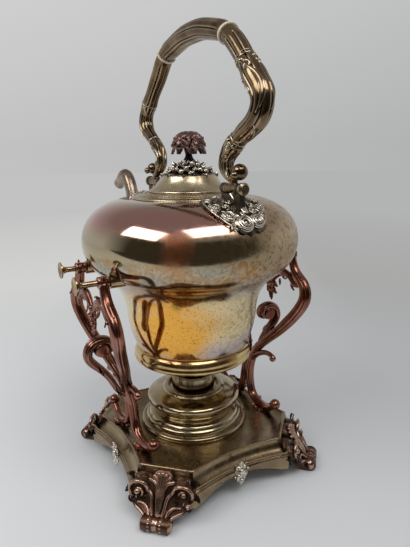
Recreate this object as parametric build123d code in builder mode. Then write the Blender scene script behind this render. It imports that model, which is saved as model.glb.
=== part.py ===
from build123d import *
import os
from math import cos, radians, sin, sqrt

os.makedirs("parts", exist_ok=True)

# A silver-plated tilting tea kettle that hangs by pins in an open scroll stand, over a spirit lamp.
# Origin: on the floor, on the kettle's axis. +Z is up, the spout points to -X, the pins lie along Y.
# Left is the -Y side and right the +Y side, as seen by a person who pours from behind the kettle.

# Clearances
RUN_FIT = 0.05
KNUCKLE_GAP = 0.15
SLIP_FIT = 0.25
REST_GAP = 0.1
SIDE_GAP = 0.4

# Kettle body
body_radius = 95.0
belly_height = 213.2
belly_round = 33.2
cove_top_angle = -57.2
shoulder_angle = 56.9
shoulder_edge_radius = 60.0
shoulder_edge_height = 248.8
neck_bore = 31.5
neck_height = 250.6
bell_waist_radius = 59.5
bell_waist_height = 150.0
bell_foot_radius = 48.5
bell_foot_height = 111.0
bottom_height = 109.0
shell_wall = 1.2

# Kettle foot ring
foot_bore = 43.0
foot_rim_height = 90.0
foot_rim_wall = 3.4
foot_bulge_radius = 54.6
foot_bulge_height = 103.5
foot_collar_height = 116.0

# Collar round the lid's opening
neck_rise = 3.4
neck_step = 0.9

# Cast sprays on the shoulder
spray_thick = 2.0
spray_width = 46.0
spray_angle = 35.0
rosette_radius = 4.6
rosette_rise = 1.6

# Lid and its knob
lid_rim_radius = 35.6
lid_rim = 1.3
lid_waist_radius = 27.4
lid_waist_height = 262.5
lid_top_radius = 24.3
lid_top_height = 268.0
lid_wall = 1.2
lid_plug_depth = 7.0
knob_screw_radius = 2.0
foliage_height = 14.0
foliage_radius = 24.0
stem_height = 8.0
stem_radius = 4.0
flower_radius = 16.0
flower_height = 18.0
petals = 8

# Spout
spout_wall = 1.2
spout_passage = 9.0
spout_root_width = 30.0
spout_root_depth = 42.0
spout_tip_reach = 170.0
spout_tip_height = 256.0
spout_top_reach = 146.0
spout_top_height = 266.5
spout_neck_reach = 131.5
spout_neck_height = 244.0
spout_root_height = 199.0

# Handle: h is the height above the hinge axis
hinge_height = 260.0
handle_lean = 3.0
hinge_inner = 55.5
knuckle_wall = 5.0
knuckle_length = 14.6
knuckle_radius = 4.2
bracket_wide = 5.0
bracket_drop = 16.0
hinge_pin_radius = 1.7
hinge_head_radius = 4.9
hinge_head_length = 3.6
bail_half_width = 96.5
bail_widest_h = 62.0
bail_crown_h = 122.5
bail_join_reach = 50.0
bail_join_h = 112.5
bail_thick = 14.0
grip_thick = 17.0
curl_reach = 76.0
curl_h = 12.3
curl_radius = 6.4
ring_thick = 1.8

# Stand: base plate
plate_top = 38.5
plate_sheet = 1.6
plate_waist = 72.5
plate_flat_far = 78.0
plate_flat_near = 45.0
apron_flare = 9.0
apron_sheet = 2.0
apron_low = 9.0
apron_arch_rise = 11.0
rim_width = 2.6
rim_rise = 1.2

# Stand: feet
foot_width = 56.0
foot_reach = 119.0
toe_radius = 6.0
toe_width = 9.0
toe_split = 4.0

# Stand: sprigs on the apron
sprig_width = 12.0
sprig_height = 20.0
sprig_middle = 23.0
sprig_rise = 3.0

# Stand: legs. The legs of each side stand in one frame that leans outward with height.
tilt_reach = 29.0
tilt_height = 191.5
frame_foot_y = 64.0
lean_from = 62.0
lean_to = 165.0
finial_rise = 6.0
stud_reach = 24.0
curl_ball_reach = 33.0
curl_ball_radius = 3.2
foot_ball_reach = 46.0
foot_ball_radius = 5.0
foot_ball_h = 13.5
leg_waist_reach = 3.8
eye_radius = 4.8
eye_length = 9.0
leg_belly_reach = 51.5
leg_belly_height = 155.0
leg_waist_height = 72.0
stud_radius = 2.0
stud_length = 9.0
nut_height = 3.2
nut_flats = 7.0

# Stand: crest and scroll bracket of each side
crest_root = 42.7
crest_root_height = 164.3
crest_boss = 21.0
crest_height = 172.5
leaf_top = 161.5
leaf_width = 14.0
leaf_drop = 21.0
leaf_thick = 3.0
bracket_root_height = 80.0
bracket_root_set = 0.35
bracket_top = 134.0
bracket_out = 100.5
bracket_volute_radius = 5.6
bracket_volute_width = 9.5

# Tilt pins and kettle lugs
pin_radius = 2.3
pin_head_radius = 7.0
pin_length = 26.0
pin_dish = 2.0
lug_radius = 5.6
lug_face = 88.0
lug_length = 16.0
pin_entry = 3.7
lock_draw = 4.6

# Spirit lamp and its well
well_ring_radius = 50.6
well_step_radius = 46.0
well_top_radius = 40.0
well_bore = 34.5
well_height = 11.5
well_floor = 1.5
lamp_bulge_radius = 44.0
lamp_bulge_height = 15.0
lamp_mouth_radius = 27.0
lamp_height = 22.0
lamp_wall = 1.2
lamp_cup_depth = 6.5
burner_radius = 20.5
cover_hole = 18.0
burner_wall = 1.2
burner_height = 16.5
wick_radius = 8.0
wick_tube_wall = 0.8
wick_length = 30.0
wick_show = 2.0

quarter = 90
full_turn = 360
sides = (("left", -1), ("right", 1))
ends = (("front", -1), ("rear", 1))


def save(piece, name):
    """Labels a finished piece and writes it."""
    piece.part.label = name
    export_step(piece.part, f"parts/{name}.step")


def size_at(share, stations):
    """Gives the (width, depth) between the two stations that a share of the route lies between."""
    for (start, *first), (end, *last) in zip(stations, stations[1:]):
        if share <= end:
            part = (share - start) / (end - start)
            blend = part * part * (3 - 2 * part)
            return [a + (b - a) * blend for a, b in zip(first, last)]
    return stations[-1][1:]


def loft_along(route, across, stations, steps, span=(0.0, 1.0), mode=Mode.ADD):
    """Lofts ovals at even steps along a span of a route, into or out of the part being built.

    Each station is (share of the span, width, depth); the width lies along across.
    """
    ovals = []
    for step in range(steps + 1):
        width, depth = size_at(step / steps, stations)
        share = span[0] + (span[1] - span[0]) * step / steps
        tangent = route % share
        side = (across - tangent * across.dot(tangent)).normalized()
        with BuildSketch(Plane(origin=route @ share, x_dir=side, z_dir=tangent)) as oval:
            Ellipse(width / 2, depth / 2)
        ovals.append(oval.sketch)
    loft(ovals, mode=mode)


def belly_point(angle, extra=0.0):
    """Gives (radius, height) on the belly's round, at an angle from its level line."""
    reach = belly_round + extra
    centre = body_radius - belly_round
    return (centre + reach * cos(radians(angle)), belly_height + reach * sin(radians(angle)))


def body_reach(height):
    """Gives the belly's radius at a height on its round."""
    rise = height - belly_height
    return body_radius - belly_round + sqrt(belly_round**2 - rise**2)


def body_profile(extra=0.0):
    """Draws the kettle's outer line from its bottom to its neck, set out by extra."""
    waist = (bell_waist_radius + extra, bell_waist_height)
    foot = (bell_foot_radius + extra, bell_foot_height)
    cove_top = belly_point(cove_top_angle, extra)
    shoulder = belly_point(shoulder_angle, extra)
    edge = (shoulder_edge_radius, shoulder_edge_height + extra)
    cove_tangent = (sin(radians(cove_top_angle)), -cos(radians(cove_top_angle)))
    Line((0, bottom_height - extra), (foot[0] - 2, bottom_height - extra))
    Line((foot[0] - 2, bottom_height - extra), foot)
    cove = TangentArc(cove_top, waist, tangent=cove_tangent)
    TangentArc(waist, foot, tangent=cove % 1)
    ThreePointArc(cove_top, (body_radius + extra, belly_height), shoulder)
    shoulder_tangent = (-sin(radians(shoulder_angle)), cos(radians(shoulder_angle)))
    TangentArc(shoulder, edge, tangent=shoulder_tangent)
    Line(edge, (neck_bore, neck_height + extra))


def body_solid(extra=0.0):
    """Revolves the kettle's outer form, filled, to seat other pieces on it."""
    with BuildPart() as filled:
        with BuildSketch(Plane.XZ):
            with BuildLine():
                body_profile(extra)
                top = neck_height + extra
                Polyline((neck_bore, top), (0, top), (0, bottom_height - extra))
            make_face()
        revolve(axis=Axis.Z)
    return filled.part


kettle_outside = body_solid()
kettle_inside = body_solid(-shell_wall)

# Kettle body: a thin shell, raised in four pieces that are soldered where they meet
with BuildPart() as kettle_body:
    add(kettle_outside)
    add(kettle_inside, mode=Mode.SUBTRACT)
    with Locations((0, 0, neck_height)):
        Cylinder(neck_bore, 4 * shell_wall, mode=Mode.SUBTRACT)
    # The spout's passage through the wall
    with BuildSketch(Plane.YZ.offset(-body_radius)):
        with Locations((0, spout_root_height)):
            Circle(spout_passage)
    extrude(amount=belly_round, mode=Mode.SUBTRACT)

seams = (0, belly_point(cove_top_angle)[1], belly_height, belly_point(shoulder_angle)[1], hinge_height)
for band, low, high in zip(("bell", "belly", "shoulder", "crown"), seams, seams[1:]):
    with BuildPart() as body_band:
        add(kettle_body.part)
        with BuildSketch(Plane.XY.offset(low)):
            Circle(body_radius + shell_wall)
        extrude(amount=high - low, mode=Mode.INTERSECT)
    save(body_band, f"kettle_{band}")

# The turned ring that the kettle stands on when it is off its stand
foot_rim = foot_bore + foot_rim_wall
foot_collar = foot_bulge_radius - 2.2
with BuildPart() as kettle_foot:
    with BuildSketch(Plane.XZ):
        with BuildLine():
            Line((foot_rim, foot_rim_height + 2), (foot_rim, foot_rim_height))
            Line((foot_rim, foot_rim_height), (foot_bore, foot_rim_height))
            Spline(
                (foot_rim, foot_rim_height + 2),
                (foot_bulge_radius, foot_bulge_height),
                tangents=((0.8, 1), (0.1, 1)),
            )
            ThreePointArc(
                (foot_bulge_radius, foot_bulge_height),
                (foot_bulge_radius - 0.9, foot_bulge_height + 3),
                (foot_collar, foot_bulge_height + 5),
            )
            Polyline(
                (foot_collar, foot_bulge_height + 5),
                (foot_collar, foot_collar_height),
                (foot_bore, foot_collar_height),
                (foot_bore, foot_rim_height),
            )
        make_face()
    revolve(axis=Axis.Z)
    add(kettle_outside, mode=Mode.SUBTRACT)
save(kettle_foot, "kettle_foot_ring")

# The stepped collar round the lid's opening
neck_edge = shoulder_edge_radius - 9
neck_fall = (neck_height - shoulder_edge_height) / (shoulder_edge_radius - neck_bore)
neck_edge_height = neck_height - neck_fall * (neck_edge - neck_bore)
neck_top = neck_height + neck_rise
with BuildPart() as neck_ring:
    with BuildSketch(Plane.XZ):
        with BuildLine():
            Polyline(
                (neck_edge, neck_edge_height),
                (neck_bore, neck_height),
                (neck_bore, neck_top),
                (lid_rim_radius + 0.6, neck_top),
                (lid_rim_radius + 2, neck_top - neck_step),
                (lid_rim_radius + 5.5, neck_top - neck_step),
                (lid_rim_radius + 6.5, neck_top - 2 * neck_step),
                (neck_edge - 2.5, neck_top - 2 * neck_step),
            )
            ThreePointArc(
                (neck_edge - 2.5, neck_top - 2 * neck_step),
                (neck_edge - 0.5, neck_top - 2.8 * neck_step),
                (neck_edge, neck_edge_height),
            )
        make_face()
    revolve(axis=Axis.Z)
save(neck_ring, "neck_ring")

# Spout: a swan neck, open at its tip
with BuildLine() as spout_route:
    Spline(
        (-(body_reach(spout_root_height) - 14), 0, spout_root_height - 2),
        (-(spout_neck_reach - 14), 0, spout_root_height + 6),
        (-spout_neck_reach, 0, spout_neck_height),
        (-spout_top_reach, 0, spout_top_height),
        (-spout_tip_reach, 0, spout_tip_height),
    )
spout_line = spout_route.edges()[0]
spout_stations = (
    (0.0, spout_root_width, spout_root_depth),
    (0.15, spout_root_width * 0.84, spout_root_depth * 0.74),
    (0.3, 20.0, 23.0),
    (0.48, 15.0, 16.0),
    (0.66, 12.8, 13.0),
    (0.82, 12.0, 12.4),
    (1.0, 10.6, 12.6),
)
spout_walls = 2 * spout_wall
spout_bore = [(share, width - spout_walls, depth - spout_walls) for share, width, depth in spout_stations]
with BuildPart() as spout:
    loft_along(spout_line, Vector(0, 1, 0), spout_stations, 12)
    loft_along(spout_line, Vector(0, 1, 0), spout_bore, 12, mode=Mode.SUBTRACT)
    add(kettle_outside, mode=Mode.SUBTRACT)
save(spout, "spout")

# Lugs under the belly: each has a blind hole that a tilt pin enters
for end, x_sign in ends:
    for side, y_sign in sides:
        with BuildPart() as lug:
            with BuildSketch(Plane.XZ.offset(-y_sign * (lug_face - lug_length))):
                with Locations((x_sign * tilt_reach, tilt_height)):
                    Circle(lug_radius)
            extrude(amount=-y_sign * lug_length)
            add(kettle_outside, mode=Mode.SUBTRACT)
            with BuildSketch(Plane.XZ.offset(-y_sign * (lug_face - pin_entry - REST_GAP))):
                with Locations((x_sign * tilt_reach, tilt_height)):
                    Circle(pin_radius + RUN_FIT)
            extrude(amount=-y_sign * lug_length, mode=Mode.SUBTRACT)
        save(lug, f"kettle_lug_{end}_{side}")

# Cast sprays on the shoulder, each below one of the handle's hinges
spray_outside = body_solid(spray_thick)
spray_root = hinge_inner - 4
spray_tip = body_radius - 2.5
for end, x_sign in ends:
    with BuildPart() as spray:
        with BuildSketch(Plane.XY.offset(belly_height)):
            with BuildLine():
                Polyline(
                    (x_sign * (spray_tip - 4), spray_width * 0.25),
                    (x_sign * (spray_tip - 12), spray_width * 0.43),
                    (x_sign * (spray_tip - 24), spray_width * 0.5),
                    (x_sign * (spray_root + 5), spray_width * 0.5),
                    (x_sign * spray_root, spray_width * 0.38),
                    (x_sign * spray_root, 0),
                    (x_sign * spray_tip, 0),
                    (x_sign * (spray_tip - 4), spray_width * 0.25),
                )
            make_face()
            mirror(about=Plane.XZ)
        extrude(amount=hinge_height - belly_height)
        add(spray_outside, mode=Mode.INTERSECT)
        for offset_y in (-0.12 * spray_width, 0.2 * spray_width):
            reach, height = belly_point(spray_angle, spray_thick * 0.6)
            rosette = Plane(
                origin=(x_sign * reach, offset_y, height),
                z_dir=(x_sign * cos(radians(spray_angle)), 0, sin(radians(spray_angle))),
            )
            with BuildSketch(rosette):
                Circle(rosette_radius)
            extrude(amount=rosette_rise, taper=18)
        add(kettle_outside, mode=Mode.SUBTRACT)
    save(spray, f"shoulder_spray_{end}")

# Hinge brackets: two knuckles on a stem, for one end of the handle
knuckle_inner_end = hinge_inner + knuckle_wall
knuckle_outer_start = knuckle_inner_end + knuckle_length + 2 * KNUCKLE_GAP
hinge_outer = knuckle_outer_start + knuckle_wall
for end, x_sign in ends:
    with BuildPart() as bracket:
        with BuildSketch(Plane.YZ.offset(x_sign * hinge_inner)):
            with Locations((0, hinge_height)):
                Circle(knuckle_radius)
            with Locations((0, hinge_height - bracket_drop / 2)):
                Rectangle(bracket_wide, bracket_drop)
        extrude(amount=x_sign * (hinge_outer - hinge_inner))
        # The space that the handle's own knuckle turns in
        with BuildSketch(Plane.YZ.offset(x_sign * knuckle_inner_end)):
            with Locations((0, hinge_height)):
                Circle(knuckle_radius + 2 * SLIP_FIT)
        extrude(amount=x_sign * (knuckle_outer_start - knuckle_inner_end), mode=Mode.SUBTRACT)
        with BuildSketch(Plane.XY.offset(hinge_height)):
            with Locations((x_sign * (knuckle_inner_end + knuckle_outer_start) / 2, 0)):
                Rectangle(knuckle_outer_start - knuckle_inner_end, 4 * knuckle_radius)
        extrude(amount=2 * knuckle_radius, mode=Mode.SUBTRACT)
        with BuildSketch(Plane.YZ.offset(x_sign * hinge_inner)):
            with Locations((0, hinge_height)):
                Circle(hinge_pin_radius)
        extrude(amount=x_sign * (hinge_outer - hinge_inner), mode=Mode.SUBTRACT)
        add(spray_outside, mode=Mode.SUBTRACT)
    save(bracket, f"hinge_bracket_{end}")

for end, x_sign in ends:
    with BuildPart() as hinge_pin:
        with BuildSketch(Plane.YZ.offset(x_sign * hinge_inner)):
            with Locations((0, hinge_height)):
                Circle(hinge_pin_radius)
        extrude(amount=x_sign * (hinge_outer - hinge_inner))
        with BuildSketch(Plane.YZ.offset(x_sign * hinge_outer)):
            with Locations((0, hinge_height)):
                Circle(hinge_head_radius)
        extrude(amount=x_sign * hinge_head_length)
        head_rim = hinge_pin.faces().sort_by(Axis.X)[0 if x_sign < 0 else -1]
        chamfer(head_rim.edges(), hinge_head_length * 0.4)
    save(hinge_pin, f"hinge_pin_{end}")

# Handle. It leans a little to the right, where its hinges' friction holds it.
bail = Plane(
    origin=(0, 0, hinge_height),
    x_dir=(1, 0, 0),
    z_dir=(0, -cos(radians(handle_lean)), sin(radians(handle_lean))),
)
knuckle_middle = (knuckle_inner_end + knuckle_outer_start) / 2
bail_side = (
    (curl_reach, curl_h),
    (knuckle_middle - 1, knuckle_radius + 3.2),
    (57.5, 16),
    (64, 30),
    (83, 43),
    (bail_half_width - 1.5, 53),
    (bail_half_width, bail_widest_h),
    (89.5, 73),
    (78, 86),
    (66, 99),
    (bail_join_reach, bail_join_h),
    (33, bail_crown_h - 4.5),
    (16, bail_crown_h - 0.8),
)
with BuildLine(bail) as bail_route:
    Spline(
        *((-reach, h) for reach, h in bail_side),
        (0, bail_crown_h),
        *((reach, h) for reach, h in reversed(bail_side)),
    )
bail_line = bail_route.edges()[0]
join_share = bail_line.param_at_point(bail.from_local_coords(Vector(-bail_join_reach, bail_join_h, 0)))
ring_share = ring_thick / bail_line.length
arm_stations = (
    (0.0, 5.5, 5.0),
    (0.08, 8.0, 6.5),
    (0.17, 10.5, 8.5),
    (0.26, 13.5, 11.5),
    (0.36, bail_thick, 11.5),
    (0.48, bail_thick + 0.5, 13.0),
    (0.58, bail_thick, 14.0),
    (0.72, bail_thick, 13.0),
    (0.86, bail_thick + 1, 15.5),
    (1.0, bail_thick + 1.5, 14.5),
)
arm_spans = {"front": (0.0, join_share), "rear": (1.0, 1.0 - join_share)}
# A ball is turned so that its seam faces away from the piece that it grows from
ball_turn = {"front": 180, "rear": 0}
for end, x_sign in ends:
    with BuildPart() as arm:
        loft_along(bail_line, bail.z_dir, arm_stations, 18, arm_spans[end])
        with Locations(bail.from_local_coords(Vector(x_sign * curl_reach, curl_h, 0))):
            Sphere(curl_radius, rotation=(0, 0, ball_turn[end]))
        # The knuckle on the hinge's axis, and its neck up to the curl
        with BuildSketch(Plane.YZ.offset(x_sign * (knuckle_inner_end + KNUCKLE_GAP))):
            with Locations((0, hinge_height)):
                Circle(knuckle_radius)
        extrude(amount=x_sign * knuckle_length)
        with BuildSketch(bail.offset(-knuckle_radius * 0.7)):
            with Locations((x_sign * knuckle_middle, curl_h / 2)):
                Rectangle(knuckle_length * 0.8, curl_h)
        extrude(amount=1.4 * knuckle_radius)
        with BuildSketch(Plane.YZ.offset(x_sign * knuckle_inner_end)):
            with Locations((0, hinge_height)):
                Circle(hinge_pin_radius + RUN_FIT)
        extrude(amount=x_sign * (knuckle_outer_start - knuckle_inner_end), mode=Mode.SUBTRACT)
    save(arm, f"handle_arm_{end}")

# Ivory rings that keep the grip cool, and the grip between them
ring_stations = ((0.0, grip_thick + 0.8, bail_thick + 2.4), (1.0, grip_thick + 0.8, bail_thick + 2.4))
ring_starts = {"front": join_share, "rear": 1.0 - join_share - ring_share}
for end, x_sign in ends:
    with BuildPart() as ring:
        ring_span = (ring_starts[end], ring_starts[end] + ring_share)
        loft_along(bail_line, bail.z_dir, ring_stations, 1, ring_span)
    save(ring, f"insulator_ring_{end}")

grip_stations = (
    (0.0, grip_thick - 1.5, bail_thick),
    (0.12, grip_thick, bail_thick + 1),
    (0.5, grip_thick + 0.5, bail_thick + 2),
    (0.88, grip_thick, bail_thick + 1),
    (1.0, grip_thick - 1.5, bail_thick),
)
grip_span = (join_share + ring_share, 1.0 - join_share - ring_share)
with BuildPart() as grip:
    loft_along(bail_line, bail.z_dir, grip_stations, 8, grip_span)
save(grip, "handle_grip")

# Lid: a spun cover with a plug that drops into the neck
lid_seat = neck_top + REST_GAP
lid_plug = neck_bore - SLIP_FIT
with BuildPart() as lid:
    with BuildSketch(Plane.XZ):
        with BuildLine():
            Line((0, lid_top_height + 1.5), (lid_top_radius - 3, lid_top_height + 1))
            Line((lid_top_radius - 3, lid_top_height + 1), (lid_top_radius, lid_top_height))
            Spline(
                (lid_top_radius, lid_top_height),
                (lid_waist_radius, lid_waist_height),
                (lid_rim_radius, lid_seat + lid_rim),
                tangents=((0.2, -1), (1, -0.35)),
            )
            Polyline(
                (lid_rim_radius, lid_seat + lid_rim),
                (lid_rim_radius, lid_seat),
                (lid_plug, lid_seat),
                (lid_plug, lid_seat - lid_plug_depth),
                (lid_plug - lid_wall, lid_seat - lid_plug_depth),
                (lid_plug - lid_wall, lid_seat + lid_rim),
                (lid_waist_radius - lid_wall, lid_waist_height - lid_wall),
                (lid_top_radius - lid_wall, lid_top_height - lid_wall),
                (0, lid_top_height - lid_wall),
                (0, lid_top_height + 1.5),
            )
        make_face()
    revolve(axis=Axis.Z)
    with Locations((0, 0, lid_top_height)):
        Cylinder(knob_screw_radius, 6 * lid_wall, mode=Mode.SUBTRACT)
save(lid, "lid_cover")


def flower_ring(radius, height, depth, turn=0.0):
    """Draws a ring of rounded petals."""
    with BuildSketch(Plane.XY.offset(height)) as outline:
        with BuildLine():
            for petal in range(petals):
                start = radians(turn + petal * full_turn / petals)
                end = radians(turn + (petal + 1) * full_turn / petals)
                middle = (start + end) / 2
                ThreePointArc(
                    ((radius - depth) * cos(start), (radius - depth) * sin(start)),
                    (radius * cos(middle), radius * sin(middle)),
                    ((radius - depth) * cos(end), (radius - depth) * sin(end)),
                )
        make_face()
    return outline.sketch


foliage_base = lid_top_height - 1.6
foliage_top = foliage_base + foliage_height
with BuildPart() as foliage:
    loft(
        [
            flower_ring(foliage_radius * 0.94, foliage_base, 1.6),
            flower_ring(foliage_radius, foliage_base + foliage_height * 0.3, 2.4),
            flower_ring(foliage_radius * 0.72, foliage_base + foliage_height * 0.7, 2.4),
            flower_ring(foliage_radius * 0.34, foliage_top, 0.8),
        ]
    )
    with BuildSketch(Plane.XZ):
        with BuildLine():
            Polyline(
                (0, foliage_base - 2),
                (foliage_radius + 3, foliage_base - 2),
                (foliage_radius + 3, lid_top_height),
                (lid_top_radius, lid_top_height),
                (lid_top_radius - 3, lid_top_height + 1),
                (0, lid_top_height + 1.5),
                (0, foliage_base - 2),
            )
        make_face()
    revolve(axis=Axis.Z, mode=Mode.SUBTRACT)
    with Locations((0, 0, foliage_top)):
        Cylinder(knob_screw_radius, 3 * foliage_height, mode=Mode.SUBTRACT)
save(foliage, "lid_foliage")

# Knob: a turned stem whose screw passes the lid, and a leafy cap
flower_base = foliage_top + stem_height
nut_top = lid_top_height - lid_wall
with BuildPart() as knob_stem:
    with BuildSketch(Plane.XZ):
        with BuildLine():
            Polyline((0, flower_base), (0, foliage_top), (stem_radius + 1.2, foliage_top))
            Spline(
                (stem_radius + 1.2, foliage_top),
                (stem_radius * 0.7, foliage_top + stem_height * 0.45),
                (stem_radius + 1.4, flower_base),
            )
            Line((stem_radius + 1.4, flower_base), (0, flower_base))
        make_face()
    revolve(axis=Axis.Z)
    with BuildSketch(Plane.XY.offset(nut_top - nut_height - 1)):
        Circle(knob_screw_radius)
    extrude(amount=foliage_top - nut_top + nut_height + 1)
save(knob_stem, "knob_stem")

with BuildPart() as knob_nut:
    with BuildSketch(Plane.XY.offset(nut_top - nut_height)):
        RegularPolygon(nut_flats / 2, 6, major_radius=False)
        Circle(knob_screw_radius, mode=Mode.SUBTRACT)
    extrude(amount=nut_height)
save(knob_nut, "knob_nut")

with BuildPart() as knob_flower:
    loft(
        [
            flower_ring(flower_radius * 0.5, flower_base, 0.8),
            flower_ring(flower_radius * 0.95, flower_base + flower_height * 0.3, 2.4),
            flower_ring(flower_radius, flower_base + flower_height * 0.55, 2.6),
            flower_ring(flower_radius * 0.75, flower_base + flower_height * 0.85, 1.8),
            flower_ring(flower_radius * 0.3, flower_base + flower_height, 0.6),
        ]
    )
save(knob_flower, "knob_flower")

# Stand: base plate with a hollow-sided outline, a raised rim and a moulded apron on arches


def plate_outline(grow, height):
    """Draws the square with cut corners and hollow sides, set out by grow."""
    with BuildSketch(Plane.XY.offset(height)) as outline:
        with BuildLine():
            for turn in range(4):
                start, middle, end, corner = (
                    Vector(x, y, 0).rotate(Axis.Z, turn * quarter)
                    for x, y in (
                        (-plate_flat_near, -plate_flat_far),
                        (0, -plate_waist),
                        (plate_flat_near, -plate_flat_far),
                        (plate_flat_far, -plate_flat_near),
                    )
                )
                ThreePointArc(start, middle, end)
                Line(end, corner)
        make_face()
        if grow:
            offset(amount=grow, kind=Kind.INTERSECTION)
    return outline.sketch


def apron_form(inset):
    """Lofts the apron's outer form, or with an inset its inner one."""
    with BuildPart() as form:
        loft(
            [
                plate_outline(-inset, plate_top - rim_rise - inset),
                plate_outline(apron_flare * 0.25 - inset, plate_top - 7),
                plate_outline(apron_flare * 0.62 - inset, plate_top - 12),
            ]
        )
        loft(
            [
                plate_outline(apron_flare * 0.8 - inset, plate_top - 12),
                plate_outline(apron_flare - inset, plate_top - 17),
                plate_outline(apron_flare * 0.9 - inset, apron_low - inset),
            ]
        )
    return form.part


with BuildPart() as plinth:
    add(apron_form(0))
    add(apron_form(apron_sheet), mode=Mode.SUBTRACT)
    # The apron's lower edge arches between the feet
    for arch_plane in (Plane.XZ, Plane.YZ):
        with BuildSketch(arch_plane):
            with BuildLine():
                ThreePointArc(
                    (-plate_flat_near - 4, apron_low),
                    (0, apron_low + apron_arch_rise),
                    (plate_flat_near + 4, apron_low),
                )
                Line((plate_flat_near + 4, apron_low), (-plate_flat_near - 4, apron_low))
            make_face()
        extrude(amount=2 * plate_flat_far, both=True, mode=Mode.SUBTRACT)
    # Holes for the legs' studs
    with BuildSketch(Plane.XY):
        with GridLocations(2 * stud_reach, 2 * frame_foot_y, 2, 2):
            Circle(stud_radius + SLIP_FIT)
    extrude(amount=plate_top, mode=Mode.SUBTRACT)
    # The rim stands above the top sheet
    with BuildSketch(Plane.XY.offset(plate_top)):
        add(plate_outline(0, 0))
        add(plate_outline(-rim_width, 0), mode=Mode.SUBTRACT)
    extrude(amount=-rim_rise)
save(plinth, "base_plinth")

# Stand: feet, cast as a shell-topped scroll that ends in a pair of rolled toes
corner_reach = (plate_flat_far + plate_flat_near) / sqrt(2)
foot_top = plate_top - 1.5
apron_outside = apron_form(0)
with BuildPart() as foot_form:
    # Side view: the back stays under the plate's edge and the front falls away to the toes
    with BuildSketch(Plane.XZ.offset(-foot_width / 2)):
        with BuildLine():
            toe_middle = foot_reach - toe_radius
            Line((corner_reach - 4, foot_top), (corner_reach + 2.5, foot_top))
            Spline(
                (corner_reach + 2.5, foot_top),
                (corner_reach + 9.5, foot_top - 9),
                (toe_middle - 7, toe_radius * 2.1),
                (toe_middle, toe_radius * 1.2),
                tangents=((1, -0.8), (1, -0.35)),
            )
            Polyline(
                (toe_middle, toe_radius * 1.2),
                (toe_middle, 0),
                (toe_middle - 9, 0),
                (corner_reach + 3, foot_top - 20),
                (corner_reach - 4, foot_top - 24),
                (corner_reach - 4, foot_top),
            )
        make_face()
    extrude(amount=foot_width)
    # Front view: a lobed shell at the top, narrowing to the toes
    with BuildSketch(Plane.YZ.offset(corner_reach - 6)):
        with BuildLine():
            half = foot_width / 2
            Spline((0, foot_top + 0.5), (half * 0.24, foot_top - 1.5), (half * 0.34, foot_top - 6.5))
            dip, lobe = (half * 0.34, foot_top - 6.5), (half * 0.9, foot_top - 8)
            ThreePointArc(dip, (half * 0.66, foot_top - 4), lobe)
            ThreePointArc(lobe, (half, foot_top - 13), (half * 0.86, foot_top - 18))
            Spline(
                (half * 0.86, foot_top - 18),
                (half * 0.56, toe_radius * 2),
                (toe_split / 2 + toe_width, toe_radius),
                (toe_split / 2 + toe_width, 0),
            )
            Line((toe_split / 2 + toe_width, 0), (0, 0))
            Line((0, 0), (0, foot_top + 0.5))
        make_face()
        mirror(about=Plane.YZ)
    extrude(amount=foot_reach - corner_reach + 8, mode=Mode.INTERSECT)
    # Rolled toes
    for side, y_sign in sides:
        with BuildSketch(Plane.XZ.offset(-y_sign * toe_split / 2)):
            with Locations((toe_middle, toe_radius)):
                Circle(toe_radius)
        extrude(amount=-y_sign * toe_width)
        with BuildSketch(Plane.XZ.offset(-y_sign * (toe_split / 2 + toe_width))):
            with Locations((toe_middle, toe_radius)):
                Circle(toe_radius * 0.45)
        extrude(amount=-y_sign * 1.0)
    # Rolled eyes of the two side scrolls
    for side, y_sign in sides:
        with BuildSketch(Plane.YZ.offset(corner_reach + 1)):
            with Locations((y_sign * foot_width * 0.41, foot_top - 12.5)):
                Circle(5.0)
        extrude(amount=9.5, taper=8)
    add(apron_outside.rotate(Axis.Z, quarter / 2), mode=Mode.SUBTRACT)

for number, corner in enumerate(("rear_right", "front_right", "front_left", "rear_left")):
    with BuildPart() as foot:
        add(foot_form.part.rotate(Axis.Z, quarter / 2 + number * quarter))
    save(foot, f"foot_{corner}")

# Small cast sprigs at the middle of each side of the apron
with BuildPart() as sprig_form:
    with BuildSketch(Plane.YZ.offset(plate_waist + 3)):
        with Locations((0, sprig_middle)):
            Circle(sprig_width / 2)
        with Locations((0, sprig_middle + sprig_height * 0.3)):
            Circle(sprig_width * 0.36)
        with Locations((0, sprig_middle - sprig_height * 0.34)):
            Circle(sprig_width * 0.3)
    extrude(amount=apron_flare + sprig_rise - 3)
    add(apron_outside, mode=Mode.SUBTRACT)
for number, side in enumerate(("rear", "right", "front", "left")):
    with BuildPart() as sprig:
        add(sprig_form.part.rotate(Axis.Z, number * quarter))
    save(sprig, f"apron_sprig_{side}")

# Stand: legs
eye_middle = lug_face + SIDE_GAP + eye_length / 2


def frame_y(height):
    """Gives how far from the axis a side frame stands at a height."""
    part = min(max((height - lean_from) / (lean_to - lean_from), 0), 1)
    return frame_foot_y + (eye_middle - frame_foot_y) * part * part * (3 - 2 * part)


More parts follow.
